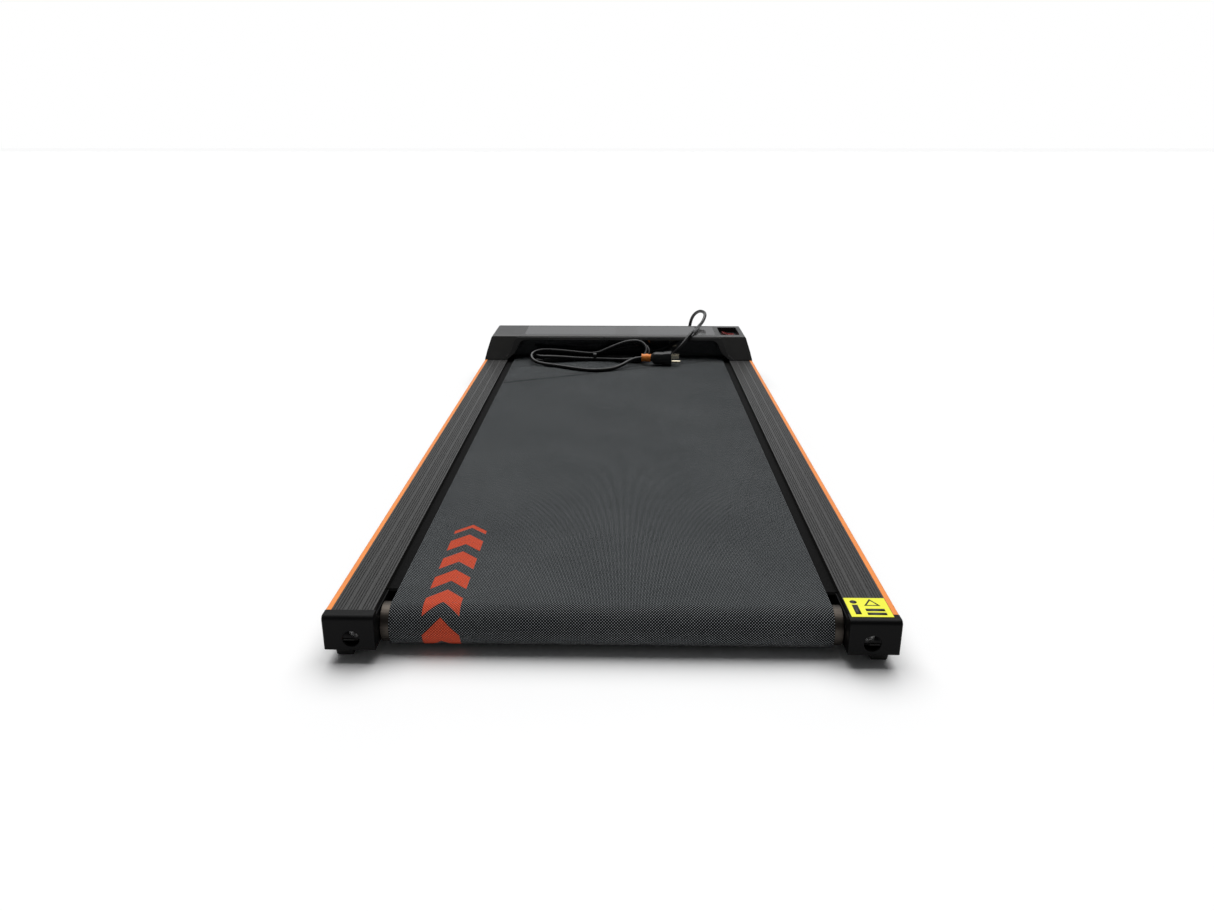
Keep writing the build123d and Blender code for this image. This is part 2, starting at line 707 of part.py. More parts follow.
armature = rod_x(magnet_outer - magnet_thickness - 0.6, motor_left_x + 18.0, motor_right_x - 28.0, motor_y,
                 motor_z)
armature = armature + rod_x(9.0, motor_right_x - 28.0, motor_right_x - 8.0, motor_y, motor_z)
for number in range(12):
    angle = 2 * pi * number / 12
    reach = magnet_outer - magnet_thickness - 1.5
    armature = armature - rod_x(1.2, motor_left_x + 15.0, motor_right_x - 28.0, motor_y + reach * cos(angle),
                                motor_z + reach * sin(angle))
armature = armature - rod_x(motor_shaft_radius, motor_left_x, motor_right_x, motor_y, motor_z)
save("motor_armature", armature)
fan_start = motor_right_x + 6.0
shaft_left = pulley_x - pulley_width / 2
shaft = rod_x(motor_shaft_radius, shaft_left, fan_start + 12.0, motor_y, motor_z)
save("motor_shaft", shaft)
fan = rod_x(7.0, fan_start, fan_start + 12.0, motor_y, motor_z)
fan = fan + rod_x(motor_radius - 3.0, fan_start, fan_start + 1.5, motor_y, motor_z)
for number in range(9):
    blade = block(fan_start + 1.0, fan_start + 12.0, motor_y - 0.7, motor_y + 0.7, motor_z + 5.0,
                  motor_z + motor_radius - 4.0)
    centre = Pos(0, motor_y, motor_z)
    fan = fan + centre * Rot(360 * number / 9, 0, 0) * centre.inverse() * blade
fan = fan - rod_x(motor_shaft_radius, fan_start - 1.0, fan_start + 13.0, motor_y, motor_z)
save("motor_fan", fan)


# Saddle under the motor
saddle_base_z = plate_z + base_plate_thickness
saddles = []
for x in (motor_left_x + 16.0, motor_right_x - 28.0):
    saddle = block(x, x + 12.0, motor_y - motor_radius + 2.0, motor_y + motor_radius - 2.0, saddle_base_z,
                   motor_z - 12.0)
    saddle = saddle - rod_x(motor_radius, x - 1.0, x + 13.0, motor_y, motor_z)
    saddles.append(saddle)
save("motor_saddles", *saddles)


# Pulleys and drive belt
def grooved_pulley(radius, y, z):
    """A multi-groove pulley with a shoulder at each side."""
    body = rod_x(radius - 1.2, pulley_x - pulley_width / 2, pulley_x + pulley_width / 2, y, z)
    for x0 in (pulley_x - pulley_width / 2, pulley_x + pulley_width / 2 - 0.8):
        body = body + rod_x(radius, x0, x0 + 0.8, y, z)
    ribs = 5
    pitch = (pulley_width - 2.4) / ribs
    for number in range(ribs):
        x = pulley_x - pulley_width / 2 + 1.2 + (number + 0.5) * pitch
        body = body + rod_x(radius - 0.2, x - 0.5, x + 0.5, y, z)
    return body


drive_pulley = grooved_pulley(drive_pulley_radius, front_roller_y, roller_z)
hub_left = pulley_x + pulley_width / 2
drive_pulley = drive_pulley + rod_x(bearing_radius - 1.0, hub_left, -roller_half_length,
                                    front_roller_y, roller_z)
drive_pulley = drive_pulley - rod_x(axle_radius + 1.0, pulley_x - pulley_width, -roller_half_length + 1.0,
                                    front_roller_y, roller_z)
save("drive_pulley", drive_pulley)
motor_pulley = grooved_pulley(motor_pulley_radius, motor_y, motor_z)
motor_pulley = motor_pulley - rod_x(motor_shaft_radius, pulley_x - pulley_width, pulley_x + pulley_width,
                                    motor_y, motor_z)
save("motor_pulley", motor_pulley)


def belt_path(extra, x0, x1):
    """A solid round both pulleys, out to their radius plus extra."""
    r0 = drive_pulley_radius + extra
    r1 = motor_pulley_radius + extra
    dy = motor_y - front_roller_y
    dz = motor_z - roller_z
    gap = hypot(dy, dz)
    heading = atan2(dz, dy)
    lean = (r0 - r1) / gap
    spread = pi / 2 - atan2(lean, sqrt(1 - lean * lean))
    corners = []
    for sign in (1, -1):
        angle = heading + sign * spread
        corners.append(((front_roller_y + r0 * cos(angle), roller_z + r0 * sin(angle)),
                        (motor_y + r1 * cos(angle), motor_z + r1 * sin(angle))))
    bridge = outline([corners[0][0], corners[0][1], corners[1][1], corners[1][0]])
    discs = Pos(front_roller_y, roller_z) * Circle(r0) + Pos(motor_y, motor_z) * Circle(r1)
    return along_x(bridge + discs, x0, x1)


drive_belt_x0 = pulley_x - drive_belt_width / 2
drive_belt_x1 = pulley_x + drive_belt_width / 2
drive_belt = belt_path(moving_gap + drive_belt_thickness, drive_belt_x0, drive_belt_x1)
drive_belt = drive_belt - belt_path(moving_gap, drive_belt_x0 - 1, drive_belt_x1 + 1)
save("drive_belt", drive_belt)

# Motor controller
controller_left_x = 20.0
controller_right_x = 170.0
controller_front_y = beam_front_y + 4.0
controller_back_y = half_length - 9.0
standoff_top_z = saddle_base_z + 4.0
controller = block(controller_left_x, controller_right_x, controller_front_y, controller_back_y,
                   standoff_top_z, standoff_top_z + 1.6)
for x in (controller_left_x + 6.0, controller_right_x - 6.0):
    for y in (controller_front_y + 5.0, controller_back_y - 5.0):
        controller = controller + rod_z(3.0, saddle_base_z, standoff_top_z, x, y)
save("controller_board", controller)
board_top_z = standoff_top_z + 1.6
heat_sink = block(controller_left_x + 20.0, controller_left_x + 60.0, controller_front_y + 4.0,
                  controller_front_y + 24.0, board_top_z, board_top_z + 3.0)
for number in range(7):
    x = controller_left_x + 20.0 + number * 6.2
    heat_sink = heat_sink + block(x, x + 1.6, controller_front_y + 4.0, controller_front_y + 24.0,
                                  board_top_z, board_top_z + 24.0)
save("heat_sink", heat_sink)
capacitors = []
for x in (controller_left_x + 76.0, controller_left_x + 100.0):
    can_body = rod_z(10.0, board_top_z, board_top_z + 30.0, x, controller_front_y + 14.0)
    capacitors.append(fillet(can_body.edges().group_by(Axis.Z)[-1], 1.5))
save("capacitors", *capacitors)

# Switch pocket with a rocker switch and a reset button
pocket = along_z(pocket_face, pocket_floor_z - pocket_wall, overall_height)
pocket_inner = Pos(pocket_centre_x, pocket_cy) * RectangleRounded(
    pocket_width - 2 * pocket_wall, pocket_length - 2 * pocket_wall, 4.5)
pocket = pocket - along_z(pocket_inner, pocket_floor_z, overall_height + 1.0)
rocker_hole = block(pocket_centre_x - rocker_length / 2, pocket_centre_x + rocker_length / 2,
                    rocker_y - rocker_width / 2, rocker_y + rocker_width / 2, pocket_floor_z - 5.0,
                    pocket_floor_z + 1.0)
pocket = pocket - rocker_hole
pocket = pocket - rod_z(reset_radius + running_gap, pocket_floor_z - 5.0, pocket_floor_z + 1.0,
                        pocket_centre_x, reset_y)
save("switch_pocket", pocket)

switch_wall = 1.5
switch_depth = 19.0
switch_top_z = pocket_floor_z - pocket_wall
pin_radius = 1.5
switch_body = block(pocket_centre_x - rocker_length / 2 - switch_wall,
                    pocket_centre_x + rocker_length / 2 + switch_wall,
                    rocker_y - rocker_width / 2 - switch_wall, rocker_y + rocker_width / 2 + switch_wall,
                    switch_top_z - switch_depth, switch_top_z)
switch_body = switch_body - block(pocket_centre_x - rocker_length / 2, pocket_centre_x + rocker_length / 2,
                                  rocker_y - rocker_width / 2, rocker_y + rocker_width / 2,
                                  switch_top_z - switch_depth + 3.0, switch_top_z + 1.0)
switch_body = switch_body - rod_y(pin_radius + running_gap, rocker_y - rocker_width,
                                  rocker_y + rocker_width, pocket_centre_x, rocker_pivot_z)
for x in (-7.0, 0.0, 7.0):
    switch_body = switch_body + block(pocket_centre_x + x - 0.4, pocket_centre_x + x + 0.4, rocker_y - 3.0,
                                      rocker_y + 3.0, switch_top_z - switch_depth - 8.0,
                                      switch_top_z - switch_depth)
save("switch_body", switch_body)

rocker_half = rocker_length / 2 - 1.7
rocker_section = outline([(-rocker_half, 8.0), (0.0, 6.0), (rocker_half, 8.0), (rocker_half, 2.0),
                          (6.0, -5.0), (-6.0, -5.0), (-rocker_half, 2.0)])
rocker = along_y(rocker_section, -rocker_width / 2 + 0.5, rocker_width / 2 - 0.5)
rocker = rocker + rod_y(pin_radius, -rocker_width / 2 - 1.2, rocker_width / 2 + 1.2, 0.0, 0.0)
rocker = Pos(pocket_centre_x, rocker_y, rocker_pivot_z) * Rot(0, rocker_tilt, 0) * rocker
save("power_rocker", rocker)

breaker_bore_z = switch_top_z - 14.0
breaker = block(pocket_centre_x - 9.0, pocket_centre_x + 9.0, reset_y - 9.0, reset_y + 9.0,
                switch_top_z - 20.0, switch_top_z)
breaker = breaker - rod_z(reset_radius + running_gap, breaker_bore_z, switch_top_z + 1.0, pocket_centre_x,
                          reset_y)
save("breaker_body", breaker)
button = rod_z(reset_radius, breaker_bore_z + reset_travel + 1.0, pocket_floor_z + 4.0, pocket_centre_x,
               reset_y)
button = fillet(button.edges().group_by(Axis.Z)[-1], 0.8)
save("reset_button", button)


# Power cord: boot, free cord over the hood, tied hank on the belt, lead to the plug
def cord_tube(points):
    """A round cord along straight runs joined by arcs."""
    radii = []
    corners = [Vector(*point) for point in points]
    for before, corner, after in zip(corners, corners[1:], corners[2:]):
        run_in = corner - before
        run_out = after - corner
        turn = radians(run_in.get_angle(run_out))
        shorter = min(run_in.length, run_out.length)
        radii.append(0.45 * shorter / tan(turn / 2))
    path = FilletPolyline(*corners, radius=radii)
    start = Plane(origin=path @ 0, z_dir=path % 0)
    tube = sweep(start * Circle(cord_radius), path=path)
    expected = pi * cord_radius ** 2 * path.length
    print(f"cord run {path.length:.0f} mm, volume {tube.volume / expected:.4f} of section by length, radii",
          [round(radius) for radius in radii])
    return tube


boot_start_y = half_length - hood_wall
boot = Pos(cord_exit_x, boot_start_y + cord_boot_length / 2, cord_exit_z) * Rot(-90, 0, 0) * Cone(
    6.0, 4.2, cord_boot_length)
boot = boot - rod_y(cord_radius, boot_start_y - 5.0, boot_start_y + cord_boot_length + 5.0, cord_exit_x,
                    cord_exit_z)
save("cord_boot", boot)

cord_route = [
    (cord_exit_x, boot_start_y, cord_exit_z),
    (cord_exit_x, half_length + 29.0, cord_exit_z),
    (cord_exit_x + 2.0, half_length + 62.0, cord_exit_z + 1.0),
    (cord_exit_x + 8.0, half_length + 81.0, cord_exit_z + 28.0),
    (cord_exit_x + 13.0, half_length + 77.0, cord_exit_z + 57.0),
    (cord_exit_x + 26.0, half_length + 54.0, overall_height + 21.0),
    (cord_exit_x + 38.0, half_length + 24.0, overall_height + 21.0),
    (cord_exit_x + 30.0, half_length - 8.0, overall_height + 9.5),
    (cord_exit_x + 17.0, half_length - 43.0, overall_height + 4.5),
    (cord_exit_x + 7.0, plateau_front_y + 26.0, overall_height + 4.3),
    (cord_exit_x - 1.0, plateau_front_y - 4.0, overall_height + 7.5),
    (cord_exit_x - 20.0, plateau_front_y - 26.0, overall_height - 13.5),
    (cord_exit_x - 44.0, plateau_front_y - 31.0, belt_top_z + 8.0),
    (cord_exit_x - 79.0, plateau_front_y - 18.0, belt_top_z + 4.5),
]
cord_run = cord_tube(cord_route)

# Folded hank: sections as (x, sideways shift, width, lift, height), and the tie round its waist
hank_right_x = cord_exit_x - 75.0
hank_left_x = hank_right_x - hank_length
hank_y = plateau_front_y - 20.0
hank_bottom_z = belt_top_z + 0.6
hank_sections = [
    (hank_left_x, 2.0, 30.0, 1.0, 16.0),
    (hank_left_x + 14.0, 0.0, 46.0, 0.0, 20.0),
    (hank_left_x + 60.0, 2.0, 36.0, 0.0, 18.0),
    (hank_left_x + 118.0, 5.0, 22.0, 0.0, 14.0),
    (hank_left_x + 128.0, 5.0, 22.0, 0.0, 14.0),
    (hank_left_x + 175.0, -3.0, 35.0, 0.0, 32.0),
    (hank_left_x + 212.0, -4.0, 34.0, 2.0, 34.5),
    (hank_right_x, -1.0, 24.0, 12.0, 18.0),
]
hank_faces = []
for x, shift, width, lift, height in hank_sections:
    middle = (x, hank_y + shift, hank_bottom_z + lift + height / 2)
    plane = Plane(origin=middle, x_dir=(0, 1, 0), z_dir=(1, 0, 0))
    hank_faces.append(plane * RectangleRounded(width, height, min(width, height) * 0.35))
hank = loft(hank_faces, ruled=True)
tie_x = hank_left_x + 123.0
tie_width = 6.0
tie = block(tie_x - tie_width / 2, tie_x + tie_width / 2, hank_y - 7.0, hank_y + 17.0, hank_bottom_z - 0.6,
            hank_bottom_z + 15.0)
tie = tie - hank
save("hank_tie", tie)

# Mains plug lying on the belt: body, sleeve toward the cord, two flat blades and a round earth pin
plug_turn = -6.0
plug_left_x = cord_exit_x - 76.0
plug_y = plateau_front_y - 55.0
plug_z = belt_top_z + plug_height / 2 + 0.2
plug = block(plug_left_x, plug_left_x + plug_length, plug_y - plug_width / 2, plug_y + plug_width / 2,
             plug_z - plug_height / 2, plug_z + plug_height / 2)
plug = fillet(plug.edges(), 4.0)
relief_length = 16.0
relief = Pos(plug_left_x - relief_length / 2 + 1.0, plug_y, plug_z) * Rot(0, 90, 0) * Cone(
    4.0, 6.0, relief_length + 2.0)
plug = plug + relief
plug_right_x = plug_left_x + plug_length
blades = []
for side in (-1, 1):
    blade_y = plug_y + side * plug_blade_spacing / 2
    blades.append(block(plug_right_x - 1.0, plug_right_x + plug_blade_length,
                        blade_y - plug_blade_thickness / 2, blade_y + plug_blade_thickness / 2,
                        plug_z + 0.5, plug_z + 0.5 + plug_blade_width))
blades.append(rod_x(earth_pin_radius, plug_right_x - 1.0, plug_right_x + plug_blade_length + 3.0,
                    plug_y, plug_z - 6.0))
for blade in blades:
    plug = plug - blade
turned = Pos(plug_left_x, plug_y, 0) * Rot(0, 0, plug_turn) * Pos(-plug_left_x, -plug_y, 0)
plug = turned * plug
blades = [turned * blade for blade in blades]
relief_tail = turned * Vertex(plug_left_x - relief_length + 2.0, plug_y, plug_z)
lead_route = [
    (hank_left_x + 10.0, hank_y - 36.5, belt_top_z + 7.5),
    (hank_left_x + 21.0, hank_y - 44.5, belt_top_z + 4.7),
    (hank_left_x + 38.0, hank_y - 51.0, belt_top_z + 3.4),
    (hank_left_x + 65.0, hank_y - 65.0, belt_top_z + 3.4),
    (hank_left_x + 96.0, hank_y - 85.0, belt_top_z + 3.4),
    (hank_left_x + 124.0, hank_y - 95.0, belt_top_z + 3.4),
    (hank_left_x + 156.0, hank_y - 85.0, belt_top_z + 3.4),
    (hank_left_x + 174.0, hank_y - 67.0, belt_top_z + 6.0),
    (hank_left_x + 186.0, hank_y - 50.0, belt_top_z + 9.5),
    (hank_left_x + 197.0, hank_y - 39.5, belt_top_z + 12.0),
    (relief_tail.X, relief_tail.Y, relief_tail.Z),
]
lead_run = cord_tube(lead_route)
save("power_cord", cord_run, lead_run)
save("cord_hank", hank - cord_run - lead_run)
save("plug_body", plug - lead_run)
save("plug_blades", *blades)
print(len(saved), "pieces")
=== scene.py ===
"""The looks of an under-desk treadmill: its materials, belt, cord, lights and camera."""

import json
import math

import bmesh
import bpy
from mathutils import Matrix, Vector


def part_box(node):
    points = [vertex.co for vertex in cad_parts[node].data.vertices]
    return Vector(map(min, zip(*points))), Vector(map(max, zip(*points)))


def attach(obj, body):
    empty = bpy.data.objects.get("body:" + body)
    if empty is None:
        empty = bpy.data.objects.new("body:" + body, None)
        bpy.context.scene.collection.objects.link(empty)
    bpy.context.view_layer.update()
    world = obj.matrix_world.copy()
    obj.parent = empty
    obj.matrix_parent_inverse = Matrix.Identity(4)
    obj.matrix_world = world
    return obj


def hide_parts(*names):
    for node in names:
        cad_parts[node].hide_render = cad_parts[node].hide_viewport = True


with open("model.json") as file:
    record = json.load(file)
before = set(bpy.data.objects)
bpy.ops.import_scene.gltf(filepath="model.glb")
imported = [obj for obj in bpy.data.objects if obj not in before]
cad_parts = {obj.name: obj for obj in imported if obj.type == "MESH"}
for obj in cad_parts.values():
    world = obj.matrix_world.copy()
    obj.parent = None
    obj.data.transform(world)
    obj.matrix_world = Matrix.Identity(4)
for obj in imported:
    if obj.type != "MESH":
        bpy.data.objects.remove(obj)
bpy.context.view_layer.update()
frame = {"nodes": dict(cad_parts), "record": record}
nodes = frame["nodes"]
scene = bpy.context.scene

# ---------------------------------------------------------------- camera

CAMERA_PLACE = Vector((0.010, -1.271, 0.443))
CAMERA_TURN = math.radians(1.06)
CAMERA_DIP = math.radians(19.04)
CAMERA_LENS = 27.04

camera_right = Vector((math.cos(CAMERA_TURN), math.sin(CAMERA_TURN), 0.0))
camera_forward = Vector((
    -math.sin(CAMERA_TURN) * math.cos(CAMERA_DIP),
    math.cos(CAMERA_TURN) * math.cos(CAMERA_DIP),
    -math.sin(CAMERA_DIP),
))
camera_up = camera_right.cross(camera_forward)
camera_data = bpy.data.cameras.new("camera")
camera_data.lens = CAMERA_LENS
camera_data.sensor_width = 36.0
camera_data.clip_start = 0.02
camera = bpy.data.objects.new("camera", camera_data)
scene.collection.objects.link(camera)
camera.matrix_world = Matrix((
    (camera_right.x, camera_up.x, -camera_forward.x, CAMERA_PLACE.x),
    (camera_right.y, camera_up.y, -camera_forward.y, CAMERA_PLACE.y),
    (camera_right.z, camera_up.z, -camera_forward.z, CAMERA_PLACE.z),
    (0.0, 0.0, 0.0, 1.0),
))
scene.camera = camera

# ---------------------------------------------------------------- cord route

CORD_DIAMETER = 0.0065

# The cord's control points, in millimetres: from the boot behind the hood, over its top and down in front.
FREE_RUN = [
    (140, 562, 36), (140, 594, 36), (142, 627, 37), (148, 646, 64), (153, 642, 93),
    (166, 619, 110.5), (178, 589, 110.5), (170, 557, 99), (157, 522, 94), (147, 483, 93.8),
    (139, 453, 97), (120, 431, 76), (96, 426, 54), (61, 439, 50.5),
]

# The hank: strands through the tie, folded at the left and looping up at the right.
HANK_RUN = [
    (30, 449, 49.6), (-5, 451, 49.4), (-43, 448, 49.4), (-78, 452, 49.4), (-112, 456.5, 49.4),
    (-138, 458, 49.4), (-149.4, 458.2, 49.4), (-158.8, 452.8, 49.5), (-164.2, 443.4, 49.6),
    (-164.2, 432.6, 49.7), (-158.8, 423.2, 49.7), (-149.4, 417.8, 49.6), (-138, 418, 49.5),
    (-118, 421, 49.4), (-82, 433, 49.4), (-43, 441, 49.4), (-12, 434, 49.4), (14, 420, 49.4),
    (31.5, 417, 49.4), (43.4, 416.5, 49.8), (52.8, 420.4, 53.5), (58.2, 427.3, 59.9),
    (58.2, 435.1, 67.3), (52.8, 442, 73.7), (43.4, 445.9, 77.4), (32, 446.2, 78), (16, 446, 76.5),
    (-14, 446, 68.5), (-43, 444.5, 56.5), (-80, 449, 56), (-112, 456, 56.4), (-131, 458, 56.7),
    (-142.9, 458.2, 56.8), (-152.3, 452.8, 57), (-157.7, 443.4, 57), (-157.7, 432.6, 57),
    (-152.3, 423.2, 57), (-142.9, 417.8, 57), (-131, 418, 57), (-112, 420.5, 56), (-76, 426.5, 52),
    (-43, 433.6, 49.7), (-12, 426, 50.5), (12, 414.5, 52.5), (26.5, 411.8, 54.3), (38.4, 411.6, 55),
    (47.8, 415.5, 58.7), (53.2, 422.4, 65.1), (53.2, 430.2, 72.5), (47.8, 437.1, 78.9),
    (38.4, 441, 82.6), (27, 440.8, 83), (11, 440, 80.5), (-18, 439, 69), (-43, 437.5, 57.8),
    (-78, 438, 61), (-112, 442, 63.5), (-133, 443.8, 64.4), (-146, 442.5, 64.4), (-157, 436, 63.4),
    (-163.5, 425, 61.3), (-164, 412, 57.5), (-158, 400.5, 53.5),
]

# From the hank round the front of it to the plug.
PLUG_RUN = [
    (-147, 392.5, 50.7), (-130, 386, 49.4), (-103, 372, 49.4), (-72, 352, 49.4), (-44, 342, 49.4),
    (-12, 352, 49.4), (6, 370, 52), (18, 387, 55.5), (29, 397.5, 58), (37.5, 401, 58.9),
    (46, 402.9, 59.2), (56, 403.1, 59.2),
]


def cord_curve():
    """The whole cord as one smooth line with round thickness."""
    curve = bpy.data.curves.new("mains_cord", "CURVE")
    curve.dimensions = "3D"
    curve.bevel_depth = 1.0
    curve.bevel_resolution = 5
    curve.resolution_u = 10
    curve.use_fill_caps = True
    spline = curve.splines.new("NURBS")
    route = FREE_RUN + HANK_RUN + PLUG_RUN
    spline.points.add(len(route) - 1)
    for point, (x, y, z) in zip(spline.points, route):
        point.co = (x / 1000.0, y / 1000.0, z / 1000.0, 1.0)
        point.radius = CORD_DIAMETER / 2
    spline.order_u = 3
    spline.use_endpoint_u = True
    cord = bpy.data.objects.new("mains_cord", curve)
    scene.collection.objects.link(cord)
    return cord


mains_cord = cord_curve()
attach(mains_cord, "frame")
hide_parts("power_cord", "cord_hank")

# ---------------------------------------------------------------- shader helpers

NOISE_LOW = 0.3
NOISE_HIGH = 0.7

def feed(tree, socket, value):
    """Links a node output into a socket, or writes a number or colour there."""
    if isinstance(value, bpy.types.NodeSocket):
        tree.links.new(value, socket)
    else:
        socket.default_value = value


def calc(tree, operation, *values):
    """One maths step."""
    node = tree.nodes.new("ShaderNodeMath")
    node.operation = operation
    for socket, value in zip(node.inputs, values):
        feed(tree, socket, value)
    return node.outputs[0]


def remap(tree, value, low, high, out_low, out_high, smooth=False):
    """value from low..high onto out_low..out_high, held at the ends."""
    node = tree.nodes.new("ShaderNodeMapRange")
    if smooth:
        node.interpolation_type = "SMOOTHSTEP"
    for socket, number in zip(node.inputs, (value, low, high, out_low, out_high)):
        feed(tree, socket, number)
    return node.outputs[0]


def mix(tree, factor, first, second):
    """A blend of two colours."""
    node = tree.nodes.new("ShaderNodeMix")
    node.data_type = "RGBA"
    feed(tree, node.inputs[0], factor)
    feed(tree, node.inputs[6], first)
    feed(tree, node.inputs[7], second)
    return node.outputs[2]


def noise(tree, vector, scale, detail=3.0):
    """Soft random variation, with scale in patches per metre."""
    node = tree.nodes.new("ShaderNodeTexNoise")
    node.inputs["Scale"].default_value = scale
    node.inputs["Detail"].default_value = detail
    tree.links.new(vector, node.inputs["Vector"])
    return node.outputs["Fac"]


def place(tree):
    """The point's own place in the object, in metres, whole and split into X, Y and Z."""
    coordinate = tree.nodes.new("ShaderNodeTexCoord").outputs["Object"]
    split = tree.nodes.new("ShaderNodeSeparateXYZ")
    tree.links.new(coordinate, split.inputs[0])
    return coordinate, split.outputs


def spread(tree, variation, low, high):
    """The middle range of a noise, where nearly all of it lies, onto low..high."""
    return remap(tree, variation, NOISE_LOW, NOISE_HIGH, low, high)


def stretched(tree, vector, scale):
    """vector with each axis scaled, for brushed or drawn grain."""
    node = tree.nodes.new("ShaderNodeMapping")
    node.inputs["Scale"].default_value = scale
    tree.links.new(vector, node.inputs["Vector"])
    return node.outputs[0]


def colour(red, green, blue):
    """An opaque colour."""
    return (red, green, blue, 1.0)


def new_surface(name):
    """A fresh material and its node tree and main shader."""
    surface = bpy.data.materials.new(name)
    surface.use_nodes = True
    tree = surface.node_tree
    return surface, tree, tree.nodes["Principled BSDF"]


def relief(tree, shader, height, depth, softness):
    """Bumps of that depth in metres, on edges rounded by softness in metres."""
    rounded = tree.nodes.new("ShaderNodeBevel")
    rounded.samples = 4
    rounded.inputs["Radius"].default_value = softness
    bump = tree.nodes.new("ShaderNodeBump")
    bump.inputs["Strength"].default_value = 1.0
    bump.inputs["Distance"].default_value = depth
    tree.links.new(height, bump.inputs["Height"])
    tree.links.new(rounded.outputs[0], bump.inputs["Normal"])
    tree.links.new(bump.outputs[0], shader.inputs["Normal"])


PATCHES_PER_METRE = 14.0
COAT_ROUGHNESS = 0.06


def moulded(name, dark, light, gloss, grain=1600.0, depth=0.00004, softness=0.0006, coat=0.0, sheen=0.32):
    """Moulded plastic or rubber: fine grain, slow changes of tone, and a little wear in the gloss."""
    surface, tree, shader = new_surface(name)
    whole, _ = place(tree)
    slow = noise(tree, whole, PATCHES_PER_METRE, 4.0)
    fine = noise(tree, whole, grain, 2.0)
    tone = calc(tree, "ADD", calc(tree, "MULTIPLY", slow, 0.75), calc(tree, "MULTIPLY", fine, 0.25))
    tree.links.new(mix(tree, spread(tree, tone, 0.0, 1.0), dark, light), shader.inputs["Base Color"])
    tree.links.new(spread(tree, slow, gloss - 0.05, gloss + 0.06), shader.inputs["Roughness"])
    shader.inputs["Specular IOR Level"].default_value = sheen
    shader.inputs["Coat Weight"].default_value = coat
    shader.inputs["Coat Roughness"].default_value = COAT_ROUGHNESS
    relief(tree, shader, fine, depth, softness)
    return surface


def metal(name, dark, light, gloss, drawn=(40.0, 900.0, 900.0), depth=0.00002, softness=0.0005):
    """Metal with fine drawn or turned lines along X."""
    surface, tree, shader = new_surface(name)
    whole, _ = place(tree)
    lines = noise(tree, stretched(tree, whole, drawn), 1.0, 4.0)
    slow = noise(tree, whole, 25.0)
    tree.links.new(mix(tree, spread(tree, slow, 0.0, 1.0), dark, light), shader.inputs["Base Color"])
    tree.links.new(spread(tree, lines, gloss - 0.07, gloss + 0.1), shader.inputs["Roughness"])
    shader.inputs["Metallic"].default_value = 1.0
    relief(tree, shader, lines, depth, softness)
    return surface


# ---------------------------------------------------------------- special surfaces

WEAVE_PITCH = 0.0027
BELT_MIDDLE_SPAN = 0.888
SPLICE_SLOPE = 0.471
SPLICE_SPACING = 0.116
SPLICE_HALF_WIDTH = 0.0028
MARK_MIDDLE = -0.153
MARK_HALF_WIDTH = 0.017
MARK_START = -0.055
MARK_END = 0.176
MARK_PITCH = 0.042
MARK_FILL = 0.024


